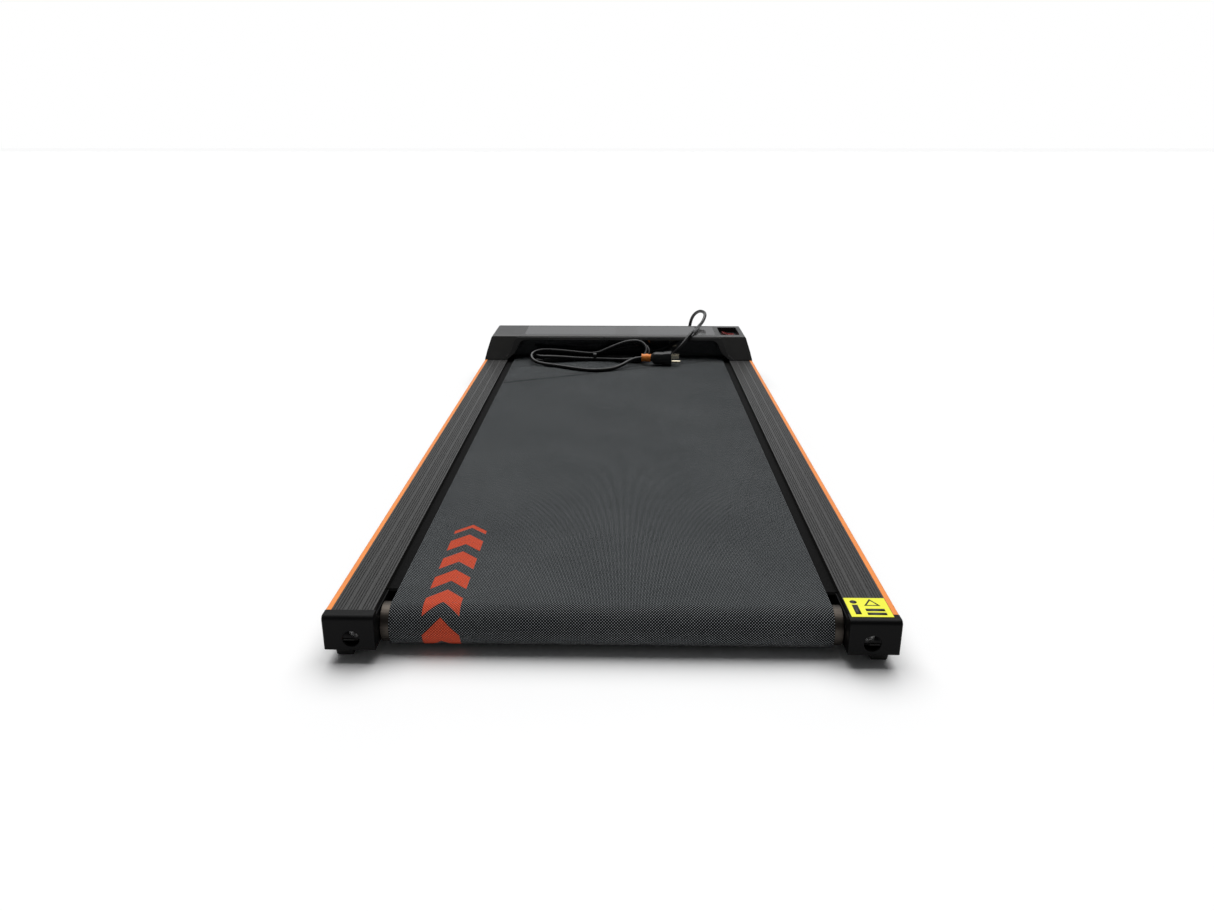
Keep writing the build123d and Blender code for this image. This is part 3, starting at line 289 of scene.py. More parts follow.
def woven_belt():
    """Worn black belt cloth: a diagonal weave, two slanting splices and a row of orange chevrons."""
    surface, tree, shader = new_surface("belt_weave")
    flat = tree.nodes.new("ShaderNodeUVMap")
    flat.uv_map = "cloth"
    split = tree.nodes.new("ShaderNodeSeparateXYZ")
    tree.links.new(flat.outputs[0], split.inputs[0])
    across, along = split.outputs[0], split.outputs[1]
    turns = 2.0 * math.pi / WEAVE_PITCH
    rising = calc(tree, "SINE", calc(tree, "MULTIPLY", calc(tree, "ADD", across, along), turns))
    falling = calc(tree, "SINE", calc(tree, "MULTIPLY", calc(tree, "SUBTRACT", across, along), turns))
    threads = calc(tree, "MULTIPLY", remap(tree, rising, -0.5, 0.9, 0.0, 1.0),
                   remap(tree, falling, -0.2, 0.8, 0.0, 1.0))
    knots = remap(tree, threads, 0.2, 0.7, 0.0, 1.0, smooth=True)
    worn = noise(tree, flat.outputs[0], 9.0, 5.0)
    lint = noise(tree, flat.outputs[0], 420.0, 3.0)
    bright = mix(tree, spread(tree, worn, 0.0, 1.0), colour(0.295, 0.316, 0.327),
                 colour(0.372, 0.394, 0.405))
    cloth = mix(tree, knots, colour(0.003, 0.0035, 0.004), bright)

    from_middle = calc(tree, "ABSOLUTE", calc(tree, "SUBTRACT", across, MARK_MIDDLE))
    in_width = calc(tree, "LESS_THAN", from_middle, MARK_HALF_WIDTH)
    after_start = calc(tree, "GREATER_THAN", along, MARK_START)
    before_end = calc(tree, "LESS_THAN", calc(tree, "ADD", along, from_middle), MARK_END)
    step = calc(tree, "FLOORED_MODULO", calc(tree, "ADD", along, from_middle), MARK_PITCH)
    in_mark = calc(tree, "LESS_THAN", step, MARK_FILL)
    mark = calc(tree, "MULTIPLY", calc(tree, "MULTIPLY", in_width, in_mark),
                calc(tree, "MULTIPLY", after_start, before_end))
    print_wear = remap(tree, lint, 0.28, 0.42, 0.35, 1.0)
    mark = calc(tree, "MULTIPLY", mark, print_wear)
    ink = mix(tree, knots, colour(0.42, 0.050, 0.022), colour(0.95, 0.185, 0.105))
    printed = mix(tree, mark, cloth, ink)

    slant = calc(tree, "SUBTRACT", along, calc(tree, "MULTIPLY", across, SPLICE_SLOPE))
    joints = None
    for offset in (0.0, SPLICE_SPACING):
        distance = calc(tree, "ABSOLUTE", calc(tree, "SUBTRACT", slant, BELT_MIDDLE_SPAN + offset))
        line = remap(tree, distance, SPLICE_HALF_WIDTH * 0.5, SPLICE_HALF_WIDTH, 1.0, 0.0)
        joints = line if joints is None else calc(tree, "MAXIMUM", joints, line)
    tree.links.new(mix(tree, calc(tree, "MULTIPLY", joints, 0.9), printed, colour(0.010, 0.011, 0.012)),
                   shader.inputs["Base Color"])
    tree.links.new(remap(tree, knots, 0.0, 1.0, 0.85, 0.65), shader.inputs["Roughness"])
    shader.inputs["Specular IOR Level"].default_value = 0.06
    height = calc(tree, "SUBTRACT", knots, joints)
    bump = tree.nodes.new("ShaderNodeBump")
    bump.inputs["Strength"].default_value = 0.9
    bump.inputs["Distance"].default_value = 0.00022
    tree.links.new(height, bump.inputs["Height"])
    tree.links.new(bump.outputs[0], shader.inputs["Normal"])
    return surface


GROOVE_PITCH = 0.0024
GROOVE_GROUP = 0.0147
RAIL_INNER_X = 0.211
RIB_SHARE = 0.36
RIB_SHARE_END = 0.40


def grooved_rail():
    """Dark extruded plastic with fine lengthwise grooves in three groups, with painted shade darkening the
    grooves.
    """
    surface, tree, shader = new_surface("rail_grooves")
    whole, axes = place(tree)
    from_centre = calc(tree, "ABSOLUTE", axes[0])
    inside = calc(tree, "SUBTRACT", from_centre, RAIL_INNER_X)
    fine = calc(tree, "SINE", calc(tree, "MULTIPLY", inside, 2.0 * math.pi / GROOVE_PITCH))
    group = calc(tree, "FLOORED_MODULO", inside, GROOVE_GROUP)
    from_group = calc(tree, "ABSOLUTE", calc(tree, "SUBTRACT", group, GROOVE_GROUP / 2))
    ribbed = remap(tree, from_group, GROOVE_GROUP * RIB_SHARE, GROOVE_GROUP * RIB_SHARE_END, 1.0, 0.0)
    ridges = calc(tree, "MULTIPLY", remap(tree, fine, -0.6, 0.6, 0.0, 1.0, smooth=True), ribbed)
    slow = noise(tree, stretched(tree, whole, (60.0, 4.0, 60.0)), 1.0, 4.0)
    grain = noise(tree, whole, 1800.0, 2.0)
    base = mix(tree, spread(tree, slow, 0.0, 1.0), colour(0.0100, 0.0095, 0.0086),
               colour(0.0130, 0.0123, 0.0112))
    # Painted shade: the colour is darkened inside the grooves, by half their depth.
    tree.links.new(mix(tree, calc(tree, "MULTIPLY", ridges, 0.5), base, colour(0.005, 0.005, 0.0048)),
                   shader.inputs["Base Color"])
    tree.links.new(spread(tree, grain, 0.36, 0.48), shader.inputs["Roughness"])
    height = calc(tree, "SUBTRACT", calc(tree, "MULTIPLY", grain, 0.05), ridges)
    shader.inputs["Specular IOR Level"].default_value = 0.38
    relief(tree, shader, height, 0.00007, 0.0008)
    return surface


PANEL_DARK_REFLECTION_START = -0.006
PANEL_DARK_REFLECTION_END = 0.036


def smoked_panel():
    """Smoked glossy panel with faint smears and a painted reflection: a darker brownish band across its
    middle.
    """
    surface, tree, shader = new_surface("smoked_panel")
    whole, axes = place(tree)
    smear = noise(tree, stretched(tree, whole, (9.0, 30.0, 1.0)), 1.0, 2.0)
    sheet = mix(tree, smear, colour(0.022, 0.020, 0.020), colour(0.034, 0.031, 0.031))
    # Painted reflection: a darker brownish band between these two X limits, standing for a dark reflection
    # in the glossy panel.
    painted_reflection_band = calc(tree, "MULTIPLY", calc(tree, "GREATER_THAN", axes[0], PANEL_DARK_REFLECTION_START),
                  calc(tree, "LESS_THAN", axes[0], PANEL_DARK_REFLECTION_END))
    tree.links.new(mix(tree, painted_reflection_band, sheet, colour(0.010, 0.006, 0.004)), shader.inputs["Base Color"])
    tree.links.new(spread(tree, smear, 0.10, 0.13), shader.inputs["Roughness"])
    shader.inputs["IOR"].default_value = 1.5
    relief(tree, shader, smear, 0.000002, 0.0005)
    return surface


def circuit_board():
    """Green board with darker copper tracks."""
    surface, tree, shader = new_surface("circuit_board")
    whole, _ = place(tree)
    bricks = tree.nodes.new("ShaderNodeTexBrick")
    bricks.inputs["Color1"].default_value = colour(0.012, 0.095, 0.030)
    bricks.inputs["Color2"].default_value = colour(0.018, 0.120, 0.040)
    bricks.inputs["Mortar"].default_value = colour(0.030, 0.170, 0.060)
    bricks.inputs["Scale"].default_value = 160.0
    bricks.inputs["Mortar Size"].default_value = 0.05
    tree.links.new(whole, bricks.inputs["Vector"])
    tree.links.new(bricks.outputs["Color"], shader.inputs["Base Color"])
    tree.links.new(spread(tree, noise(tree, whole, 90.0), 0.25, 0.4), shader.inputs["Roughness"])
    relief(tree, shader, bricks.outputs["Fac"], 0.00005, 0.0003)
    return surface


def fibreboard_with_painted_shade():
    """Dark pressed board with fine flecks; its near-black colour is partly painted shade for the deep gaps
    beside the belt.
    """
    surface, tree, shader = new_surface("fibreboard_with_painted_shade")
    whole, _ = place(tree)
    flecks = noise(tree, stretched(tree, whole, (900.0, 250.0, 900.0)), 1.0, 5.0)
    # Painted shade: both colours are set near black, darker than the board itself, to stand for the shade
    # in the gaps beside the belt.
    tree.links.new(mix(tree, flecks, colour(0.0006, 0.0006, 0.0006), colour(0.0014, 0.0013, 0.0012)),
                   shader.inputs["Base Color"])
    tree.links.new(spread(tree, flecks, 0.65, 0.8), shader.inputs["Roughness"])
    shader.inputs["Specular IOR Level"].default_value = 0.06
    relief(tree, shader, flecks, 0.00005, 0.0005)
    return surface


WIRE_PITCH = 0.0009


def windings():
    """Lacquered copper wire wound along the armature, with painted shade between the wires."""
    surface, tree, shader = new_surface("windings")
    whole, axes = place(tree)
    wires = calc(tree, "SINE", calc(tree, "MULTIPLY", axes[1], 2.0 * math.pi / WIRE_PITCH))
    # Painted shade: the copper colour darkens in the troughs between wires, following the same wave as the
    # bumps.
    tree.links.new(mix(tree, remap(tree, wires, -1.0, 1.0, 0.0, 1.0), colour(0.16, 0.05, 0.02),
                       colour(0.55, 0.24, 0.10)), shader.inputs["Base Color"])
    tree.links.new(spread(tree, noise(tree, whole, 60.0), 0.25, 0.4), shader.inputs["Roughness"])
    shader.inputs["Metallic"].default_value = 1.0
    relief(tree, shader, wires, 0.0001, 0.0003)
    return surface


surfaces = {
    "frame_steel": moulded(
        "powder_coat", colour(0.008, 0.008, 0.0085), colour(0.014, 0.014, 0.015),
        gloss=0.42, grain=2600.0, depth=0.00005, softness=0.0010),
    "deck_board": fibreboard_with_painted_shade(),
    "cushion_rubber": moulded(
        "soft_rubber", colour(0.014, 0.014, 0.014), colour(0.026, 0.026, 0.026),
        gloss=0.75),
    "belt_rubber": woven_belt(),
    "rail_plastic": grooved_rail(),
    "trim_plastic": moulded(
        "orange_trim", colour(0.84, 0.235, 0.030), colour(0.93, 0.290, 0.045),
        gloss=0.42, grain=1200.0, depth=0.00003, softness=0.0008),
    "cap_plastic": moulded(
        "black_moulding", colour(0.0022, 0.0022, 0.0024), colour(0.0040, 0.0040, 0.0042),
        gloss=0.38, grain=1500.0, depth=0.00004, softness=0.0009, sheen=0.08),
    "label": moulded(
        "yellow_film", colour(0.86, 0.86, 0.020), colour(0.93, 0.92, 0.035),
        gloss=0.35, grain=700.0, depth=0.00002, softness=0.0001),
    "hood_plastic": moulded(
        "hood_moulding", colour(0.0055, 0.0052, 0.0044), colour(0.0080, 0.0076, 0.0065),
        gloss=0.34, grain=2200.0, depth=0.00004, softness=0.0014, sheen=0.42),
    "lip_plastic": moulded(
        "lip_moulding", colour(0.0075, 0.0075, 0.0073), colour(0.0105, 0.0105, 0.0100),
        gloss=0.26, grain=1800.0, depth=0.00003, softness=0.0009, sheen=0.42),
    "guard_plastic": moulded(
        "glossy_black", colour(0.004, 0.005, 0.006), colour(0.008, 0.009, 0.011),
        gloss=0.14, grain=300.0, depth=0.00001, softness=0.0008, coat=0.5),
    "panel_glass": smoked_panel(),
    "board": circuit_board(),
    "steel": metal(
        "plated_steel", colour(0.42, 0.40, 0.37), colour(0.58, 0.56, 0.53),
        gloss=0.30),
    "black_oxide": metal(
        "black_oxide", colour(0.10, 0.10, 0.10), colour(0.19, 0.19, 0.19),
        gloss=0.32, drawn=(900.0, 60.0, 900.0)),
    "pulley_metal": metal(
        "turned_alloy", colour(0.50, 0.50, 0.52), colour(0.64, 0.64, 0.66),
        gloss=0.30),
    "magnet": moulded(
        "ferrite", colour(0.018, 0.018, 0.022), colour(0.034, 0.034, 0.040),
        gloss=0.55),
    "windings": windings(),
    "drive_rubber": moulded(
        "belt_rubber", colour(0.008, 0.008, 0.008), colour(0.018, 0.018, 0.018),
        gloss=0.60),
    "foot_rubber": moulded(
        "foot_rubber", colour(0.012, 0.012, 0.012), colour(0.024, 0.024, 0.023),
        gloss=0.70),
    "wheel_plastic": moulded(
        "wheel_plastic", colour(0.020, 0.020, 0.020), colour(0.038, 0.038, 0.038),
        gloss=0.45),
    "switch_plastic": moulded(
        "switch_plastic", colour(0.012, 0.012, 0.012), colour(0.020, 0.020, 0.021),
        gloss=0.34),
    "rocker_red": moulded(
        "rocker_red", colour(0.14, 0.006, 0.005), colour(0.22, 0.010, 0.008),
        gloss=0.22, grain=900.0, depth=0.00001, softness=0.0006, coat=0.5),
    "reset_plastic": moulded(
        "reset_plastic", colour(0.020, 0.020, 0.020), colour(0.032, 0.032, 0.032),
        gloss=0.34),
    "cord_pvc": moulded(
        "cord_sheath", colour(0.004, 0.004, 0.0042), colour(0.008, 0.008, 0.0083),
        gloss=0.26, grain=1400.0, depth=0.00002, softness=0.0003, sheen=0.30),
    "plug_pvc": moulded(
        "plug_moulding", colour(0.008, 0.008, 0.0085), colour(0.016, 0.016, 0.0165),
        gloss=0.36, grain=1600.0, depth=0.00004, softness=0.0004),
    "blade_metal": metal(
        "blade_metal", colour(0.62, 0.56, 0.42), colour(0.78, 0.72, 0.58),
        gloss=0.26),
    "capacitor_film": moulded(
        "capacitor_film", colour(0.012, 0.020, 0.070), colour(0.022, 0.032, 0.110),
        gloss=0.25, grain=500.0, depth=0.00001, softness=0.0004),
}

SPECIAL_SURFACES = {
    "tension_bolt_left": metal(
        "bolt_steel", colour(0.50, 0.50, 0.50), colour(0.66, 0.66, 0.65),
        gloss=0.25, drawn=(900.0, 60.0, 900.0)),
    "rear_roller_tube": metal(
        "roller_tube", colour(0.045, 0.038, 0.032), colour(0.085, 0.074, 0.064),
        gloss=0.42),
}
SPECIAL_SURFACES["tension_bolt_right"] = SPECIAL_SURFACES["tension_bolt_left"]


def paint(thing, surface):
    """Puts one material on a whole object."""
    thing.data.materials.clear()
    thing.data.materials.append(surface)


for part in frame["record"]["subparts"]:
    node_name = part["node"]
    paint(nodes[node_name], SPECIAL_SURFACES.get(node_name, surfaces[part["material_slot"]]))
paint(mains_cord, surfaces["cord_pvc"])

# ---------------------------------------------------------------- mesh helpers


def piece(name, mesh, body, surface, replaced=()):
    """Adds a mesh to the object: what carries it, what it is made of and which CAD nodes it stands for."""
    data = bpy.data.meshes.new(name)
    mesh.to_mesh(data)
    mesh.free()
    for face in data.polygons:
        face.use_smooth = True
    thing = bpy.data.objects.new(name, data)
    scene.collection.objects.link(thing)
    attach(thing, body)
    if replaced:
        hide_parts(*replaced)
    paint(thing, surface)
    return thing


def loft(mesh, rings, closed=False, capped=True):
    """Joins rings of points, each with the same count, into one skin."""
    rows = []
    for ring in rings:
        rows.append([mesh.verts.new(point) for point in ring])
    count = len(rows[0])
    pairs = list(zip(rows[:-1], rows[1:]))
    if closed:
        pairs.append((rows[-1], rows[0]))
    for first, second in pairs:
        for index in range(count):
            after = (index + 1) % count
            mesh.faces.new((first[index], first[after], second[after], second[index]))
    if capped and not closed:
        mesh.faces.new(list(reversed(rows[0])))
        mesh.faces.new(rows[-1])


def squared_ring(half_width, half_height, squareness, count):
    """Points of a rounded shape between an oval (2) and a rectangle (large squareness)."""
    ring = []
    for index in range(count):
        angle = 2.0 * math.pi * index / count
        across = math.copysign(abs(math.cos(angle)) ** (2.0 / squareness), math.cos(angle)) * half_width
        up = math.copysign(abs(math.sin(angle)) ** (2.0 / squareness), math.sin(angle)) * half_height
        ring.append((across, up))
    return ring


def add_modifier(thing, kind, **settings):
    """Adds a modifier of that kind with those settings."""
    modifier = thing.modifiers.new(kind.lower(), kind)
    for name, value in settings.items():
        setattr(modifier, name, value)


def prism(mesh, outline, low, high):
    """An upright plate with that outline."""
    loft(mesh, [[(x, y, low) for x, y in outline], [(x, y, high) for x, y in outline]])


# ---------------------------------------------------------------- running belt

belt_low, belt_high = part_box("running_belt")
BELT_THICKNESS = 0.0017
BELT_EDGE_ROUND = 0.0005
belt_radius = (belt_high.z - belt_low.z) / 2
belt_mid_z = (belt_high.z + belt_low.z) / 2
rear_axis_y = belt_low.y + belt_radius
front_axis_y = belt_high.y - belt_radius
BELT_SEAM_BACK = 0.300
SEAM_STEPS = 8
ROLLER_STEPS = 28
RUN_STEPS = 40


def belt_stations():
    """Round the belt from under its rear end: each station's distance, Y and outward angle in degrees."""
    stations = []
    start = -(BELT_SEAM_BACK + math.pi * belt_radius)
    for step in range(SEAM_STEPS):
        share = step / SEAM_STEPS
        stations.append((start + BELT_SEAM_BACK * share, rear_axis_y + BELT_SEAM_BACK * (1 - share), -90.0))
    for step in range(ROLLER_STEPS):
        share = step / ROLLER_STEPS
        stations.append((-math.pi * belt_radius * (1 - share), rear_axis_y, -90.0 - 180.0 * share))
    top_run = front_axis_y - rear_axis_y
    for step in range(RUN_STEPS):
        share = step / RUN_STEPS
        stations.append((top_run * share, rear_axis_y + top_run * share, 90.0))
    for step in range(ROLLER_STEPS):
        share = step / ROLLER_STEPS
        stations.append((top_run + math.pi * belt_radius * share, front_axis_y, 90.0 - 180.0 * share))
    lower_run = top_run - BELT_SEAM_BACK
    for step in range(RUN_STEPS // 2 + 1):
        share = step / (RUN_STEPS // 2)
        stations.append((top_run + math.pi * belt_radius + lower_run * share,
                         front_axis_y - lower_run * share, -90.0))
    return stations


def belt_section():
    """The belt's cross-section as (across, inward) points, with rounded edges."""
    half = belt_high.x
    edge = BELT_EDGE_ROUND
    thick = BELT_THICKNESS
    left = [(-half, edge), (-half + edge * 0.3, edge * 0.3), (-half + edge, 0.0), (-half / 2, 0.0)]
    right = [(half / 2, 0.0), (half - edge, 0.0), (half - edge * 0.3, edge * 0.3), (half, edge)]
    inner = [(half, thick), (half / 2, thick), (0.0, thick), (-half / 2, thick), (-half, thick)]
    return left + [(0.0, 0.0)] + right + inner


def build_belt():
    """The belt loop, with its cloth laid flat in metres as the map of its weave."""
    mesh = bmesh.new()
    cloth = mesh.loops.layers.uv.new("cloth")
    section = belt_section()
    stations = belt_stations()
    rows = []
    for _, y, angle in stations:
        out_y = math.cos(math.radians(angle))
        out_z = math.sin(math.radians(angle))
        row = []
        for across, inward in section:
            reach = belt_radius - inward
            row.append(mesh.verts.new((across, y + out_y * reach, belt_mid_z + out_z * reach)))
        rows.append(row)
    for index in range(len(rows) - 1):
        for column in range(len(section)):
            after = (column + 1) % len(section)
            corners = [
                (rows[index][column], column, index),
                (rows[index][after], after, index),
                (rows[index + 1][after], after, index + 1),
                (rows[index + 1][column], column, index + 1),
            ]
            face = mesh.faces.new([corner[0] for corner in corners])
            for loop, (_, place_across, station) in zip(face.loops, corners):
                loop[cloth].uv = (section[place_across][0], stations[station][0])
    bmesh.ops.recalc_face_normals(mesh, faces=mesh.faces)
    return piece("walking_belt", mesh, "frame", surfaces["belt_rubber"], ["running_belt"])


walking_belt = build_belt()

# ---------------------------------------------------------------- cord fittings

boot_low, boot_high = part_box("cord_boot")
BOOT_TIP_WALL = 0.0008
BOOT_STEPS = 36
BOOT_RIB_DEPTH = 0.0006
BOOT_RIB_STEPS = 5
BOOT_RIBS_START = 0.2
BOOT_RIBS_END = 0.92


def build_boot():
    """The tapered strain relief where the cord leaves the hood, with soft ribs."""
    mesh = bmesh.new()
    base_radius = (boot_high.x - boot_low.x) / 2
    tip_radius = CORD_DIAMETER / 2 + BOOT_TIP_WALL
    centre_x = (boot_low.x + boot_high.x) / 2
    centre_z = (boot_low.z + boot_high.z) / 2
    length = boot_high.y - boot_low.y
    rings = []
    for step in range(BOOT_STEPS + 1):
        share = step / BOOT_STEPS
        radius = base_radius + (tip_radius - base_radius) * share ** 0.8
        in_ribs = BOOT_RIBS_START < share < BOOT_RIBS_END
        if in_ribs and step % BOOT_RIB_STEPS in (2, 3):
            radius -= BOOT_RIB_DEPTH
        ring = [(centre_x + x, boot_low.y + length * share, centre_z - z)
                for x, z in squared_ring(radius, radius, 2.0, 28)]
        rings.append(ring)
    loft(mesh, rings)
    return piece("cord_relief", mesh, "frame", surfaces["cord_pvc"], ["cord_boot"])


PLUG_LENGTH = 0.036
PLUG_TURN = math.radians(-6.0)
PLUG_BACK = Vector((0.064, 0.402, 0.0592))
plug_to_row = Matrix.Translation(PLUG_BACK) @ Matrix.Rotation(PLUG_TURN, 4, "Z")

# Along the plug from its cord end: distance, half width, half height, squareness.
PLUG_SECTIONS = [
    (-0.0155, 0.0040, 0.0040, 2.0), (-0.0120, 0.0046, 0.0046, 2.0), (-0.0060, 0.0054, 0.0054, 2.0),
    (-0.0015, 0.0062, 0.0062, 2.1), (0.0005, 0.0085, 0.0088, 2.4), (0.0035, 0.0103, 0.0108, 2.8),
    (0.0090, 0.0106, 0.0112, 3.2), (0.0110, 0.0100, 0.0107, 3.2), (0.0130, 0.0106, 0.0112, 3.2),
    (0.0150, 0.0100, 0.0107, 3.2), (0.0170, 0.0107, 0.0113, 3.2), (0.0190, 0.0101, 0.0108, 3.2),
    (0.0210, 0.0109, 0.0115, 3.4), (0.0260, 0.0116, 0.0124, 3.8),
]
PLUG_FACE = [(0.0030, 0.0120, 0.0130, 4.2), (0.0010, 0.0120, 0.0130, 4.2), (0.0, 0.0113, 0.0123, 4.0)]


def build_plug():
    """The moulded plug: a tapered neck, a waisted grip with ribs and a flat face."""
    mesh = bmesh.new()
    sections = list(PLUG_SECTIONS)
    for back, half_width, half_height, squareness in PLUG_FACE:
        sections.append((PLUG_LENGTH - back, half_width, half_height, squareness))
    rings = []
    for x, half_width, half_height, squareness in sections:
        ring = []
        for across, up in squared_ring(half_width, half_height, squareness, 36):
            ring.append(plug_to_row @ Vector((x, across, up)))
        rings.append(ring)
    loft(mesh, rings)
    bmesh.ops.recalc_face_normals(mesh, faces=mesh.faces)
    plug = piece("mains_plug", mesh, "frame", surfaces["plug_pvc"], ["plug_body"])
    add_modifier(plug, "SUBSURF", levels=1, render_levels=1)
    return plug


WRAP_START = -0.020
WRAP_END = -0.003
WRAP_RADIUS = 0.0066
WRAP_STEPS = 12


def build_wrap():
    """A plain orange sleeve round the plug's neck, a little crumpled."""
    mesh = bmesh.new()
    rings = []
    for step in range(WRAP_STEPS + 1):
        share = step / WRAP_STEPS
        x = WRAP_START + (WRAP_END - WRAP_START) * share
        ring = []
        for index, (across, up) in enumerate(squared_ring(1.0, 1.0, 2.0, 32)):
            creases = 0.0006 * math.sin(3.0 * index + 5.0 * share) + 0.0004 * math.cos(11.0 * share)
            radius = WRAP_RADIUS + creases
            ring.append(plug_to_row @ Vector((x, across * radius, up * radius)))
        rings.append(ring)
    loft(mesh, rings)
    bmesh.ops.recalc_face_normals(mesh, faces=mesh.faces)
    return piece("plug_sleeve", mesh, "frame", surfaces["trim_plastic"])


TIE_X = -0.0445
TIE_CENTRE_Y = 0.4410
TIE_CENTRE_Z = 0.0539
TIE_WIDTH = 0.006
TIE_HALF_WIDTH = 0.0120
TIE_HALF_HEIGHT = 0.0078
TIE_WALL_SIDE = 0.0008
TIE_WALL_TOP = 0.0005
TIE_SQUARENESS = 2.6
TIE_POINTS = 40


def build_tie():
    """The soft band that holds the hank together."""
    mesh = bmesh.new()
    inner_width = TIE_HALF_WIDTH - TIE_WALL_SIDE
    inner_height = TIE_HALF_HEIGHT - TIE_WALL_TOP
    inner = squared_ring(inner_width, inner_height, TIE_SQUARENESS, TIE_POINTS)
    outer = squared_ring(TIE_HALF_WIDTH, TIE_HALF_HEIGHT, TIE_SQUARENESS, TIE_POINTS)
    left = TIE_X - TIE_WIDTH / 2
    right = TIE_X + TIE_WIDTH / 2
    loops = []
    for x, section in ((left, inner), (left, outer), (right, outer), (right, inner)):
        loops.append([(x, TIE_CENTRE_Y + y, TIE_CENTRE_Z + z) for y, z in section])
    loft(mesh, loops, closed=True)
    bmesh.ops.recalc_face_normals(mesh, faces=mesh.faces)
    tie = piece("hank_band", mesh, "frame", surfaces["cord_pvc"], ["hank_tie"])
    add_modifier(tie, "BEVEL", width=0.0003, segments=2)
    return tie


cord_relief = build_boot()
mains_plug = build_plug()
plug_sleeve = build_wrap()
hank_band = build_tie()

# ---------------------------------------------------------------- label print

label_low, label_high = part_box("rail_label")
PRINT_HEIGHT = 0.00005
TRIANGLE_PLACE = (0.62, 0.70)
TRIANGLE_OUTER = 0.0085
TRIANGLE_INNER = 0.0055
DISC_PLACE = (0.20, 0.78)
DISC_RADIUS = 0.0032

# Bars on the label, as shares of its width and length: middle across and along, then width and length.
BARS = [(0.64, 0.36, 0.46, 0.13), (0.64, 0.16, 0.46, 0.13), (0.20, 0.38, 0.14, 0.50)]


def build_label_print():
    """Plain marks on the yellow label: an outlined triangle, a disc and three bars."""
    mesh = bmesh.new()
    width = label_high.x - label_low.x
    length = label_high.y - label_low.y
    low = label_high.z
    high = low + PRINT_HEIGHT

    def spot(across, along):
        """A point given by shares of the label's width and length."""
        return (label_low.x + width * across, label_low.y + length * along)

    centre_x, centre_y = spot(*TRIANGLE_PLACE)
    corners = [math.radians(angle) for angle in (90.0, 210.0, 330.0)]
    for index in range(3):
        first, second = corners[index], corners[(index + 1) % 3]
        side = []
        for radius, angle in ((TRIANGLE_OUTER, first), (TRIANGLE_OUTER, second),
                              (TRIANGLE_INNER, second), (TRIANGLE_INNER, first)):
            side.append((centre_x + radius * math.cos(angle), centre_y + radius * math.sin(angle)))
        prism(mesh, side, low, high)
    for across, along, bar_width, bar_length in BARS:
        x, y = spot(across, along)
        half_x, half_y = bar_width * width / 2, bar_length * length / 2
        prism(mesh, [(x - half_x, y - half_y), (x + half_x, y - half_y), (x + half_x, y + half_y),
                     (x - half_x, y + half_y)], low, high)
    disc_x, disc_y = spot(*DISC_PLACE)
    disc = [(disc_x + x, disc_y + y) for x, y in squared_ring(DISC_RADIUS, DISC_RADIUS, 2.0, 24)]
    prism(mesh, disc, low, high)
    bmesh.ops.recalc_face_normals(mesh, faces=mesh.faces)
    ink = moulded(
        "label_ink", colour(0.010, 0.010, 0.010), colour(0.020, 0.020, 0.018),
        gloss=0.40, grain=700.0, depth=0.00001, softness=0.00005)
    return piece("label_marks", mesh, "frame", ink)


build_label_print()

# ---------------------------------------------------------------- floor and light

FLOOR_HALF_WIDTH = 60.0
FLOOR_DROP = 0.0002


def build_floor():
    """A plain pale floor."""
    mesh = bmesh.new()
    half = FLOOR_HALF_WIDTH
    corners = []
    for x, y in ((-half, -half), (half, -half), (half, half), (-half, half)):
        corners.append(mesh.verts.new((x, y, -FLOOR_DROP)))
    mesh.faces.new(corners)
    data = bpy.data.meshes.new("floor")
    mesh.to_mesh(data)
    mesh.free()
    floor = bpy.data.objects.new("floor", data)
    scene.collection.objects.link(floor)
    surface, tree, shader = new_surface("pale_floor")
    whole, _ = place(tree)
    tree.links.new(mix(tree, noise(tree, whole, 3.0), colour(0.93, 0.93, 0.93), colour(0.96, 0.96, 0.96)),
                   shader.inputs["Base Color"])
    shader.inputs["Roughness"].default_value = 0.9
    shader.inputs["Specular IOR Level"].default_value = 0.1
    data.materials.append(surface)


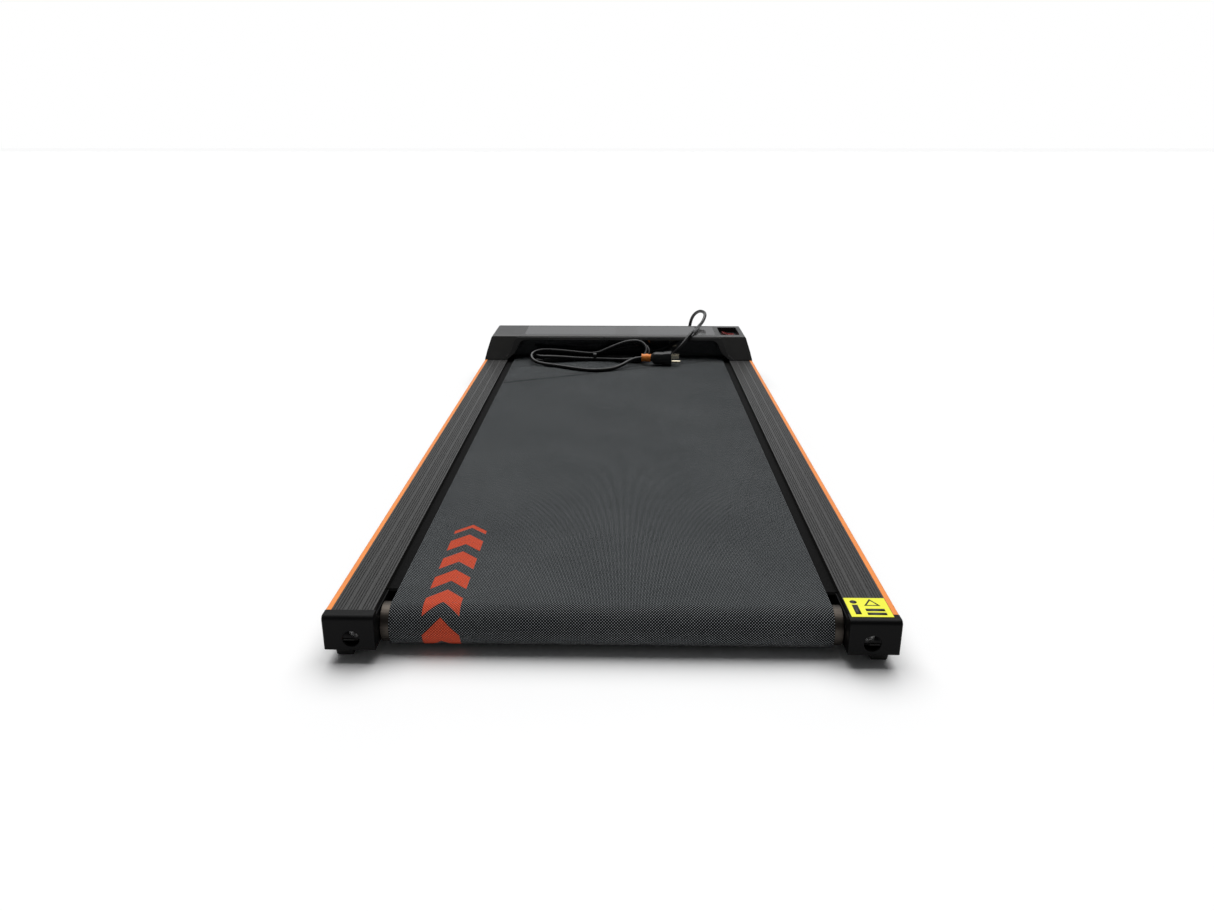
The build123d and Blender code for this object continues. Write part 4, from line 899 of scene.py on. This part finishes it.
def soft_light(name, where, aim, width, depth, power, tint):
    """A large soft lamp."""
    data = bpy.data.lights.new(name, "AREA")
    data.shape = "RECTANGLE"
    data.size = width
    data.size_y = depth
    data.energy = power
    data.color = tint
    lamp = bpy.data.objects.new(name, data)
    lamp.location = where
    lamp.rotation_euler = (Vector(aim) - Vector(where)).to_track_quat("-Z", "Y").to_euler()
    lamp.visible_camera = False
    scene.collection.objects.link(lamp)


WINDOW_PLACE = (0.0, 36.0, 12.0)
WINDOW_AIM = (0.0, 0.2, 0.05)
WINDOW_WIDTH = 56.0
WINDOW_HEIGHT = 20.0
WINDOW_POWER = 1760.0
WINDOW_TINT = (0.97, 0.985, 1.0)
DAYLIGHT_STRENGTH = 3.2
DAYLIGHT_SPREAD = math.radians(68.0)
DAYLIGHT_LEAN = math.radians(-21.0)
build_floor()
soft_light("window_behind", WINDOW_PLACE, WINDOW_AIM, WINDOW_WIDTH, WINDOW_HEIGHT, WINDOW_POWER,
           WINDOW_TINT)
daylight = bpy.data.lights.new("daylight", "SUN")
daylight.energy = DAYLIGHT_STRENGTH
daylight.angle = DAYLIGHT_SPREAD
daylight_lamp = bpy.data.objects.new("daylight", daylight)
daylight_lamp.rotation_euler = (DAYLIGHT_LEAN, 0.0, 0.0)
scene.collection.objects.link(daylight_lamp)

ROOM_LIGHT = 0.10
BACKDROP_LIGHT = 1.0
world = bpy.data.worlds.new("room")
scene.world = world
world.use_nodes = True
room_tree = world.node_tree
room = room_tree.nodes["Background"]
room.inputs[0].default_value = colour(*WINDOW_TINT)
room.inputs[1].default_value = ROOM_LIGHT
backdrop = room_tree.nodes.new("ShaderNodeBackground")
backdrop.inputs[0].default_value = colour(1.0, 1.0, 1.0)
backdrop.inputs[1].default_value = BACKDROP_LIGHT
path = room_tree.nodes.new("ShaderNodeLightPath")
choice = room_tree.nodes.new("ShaderNodeMixShader")
room_tree.links.new(path.outputs["Is Camera Ray"], choice.inputs[0])
room_tree.links.new(room.outputs[0], choice.inputs[1])
room_tree.links.new(backdrop.outputs[0], choice.inputs[2])
room_tree.links.new(choice.outputs[0], room_tree.nodes["World Output"].inputs[0])
scene.view_settings.view_transform = "Standard"
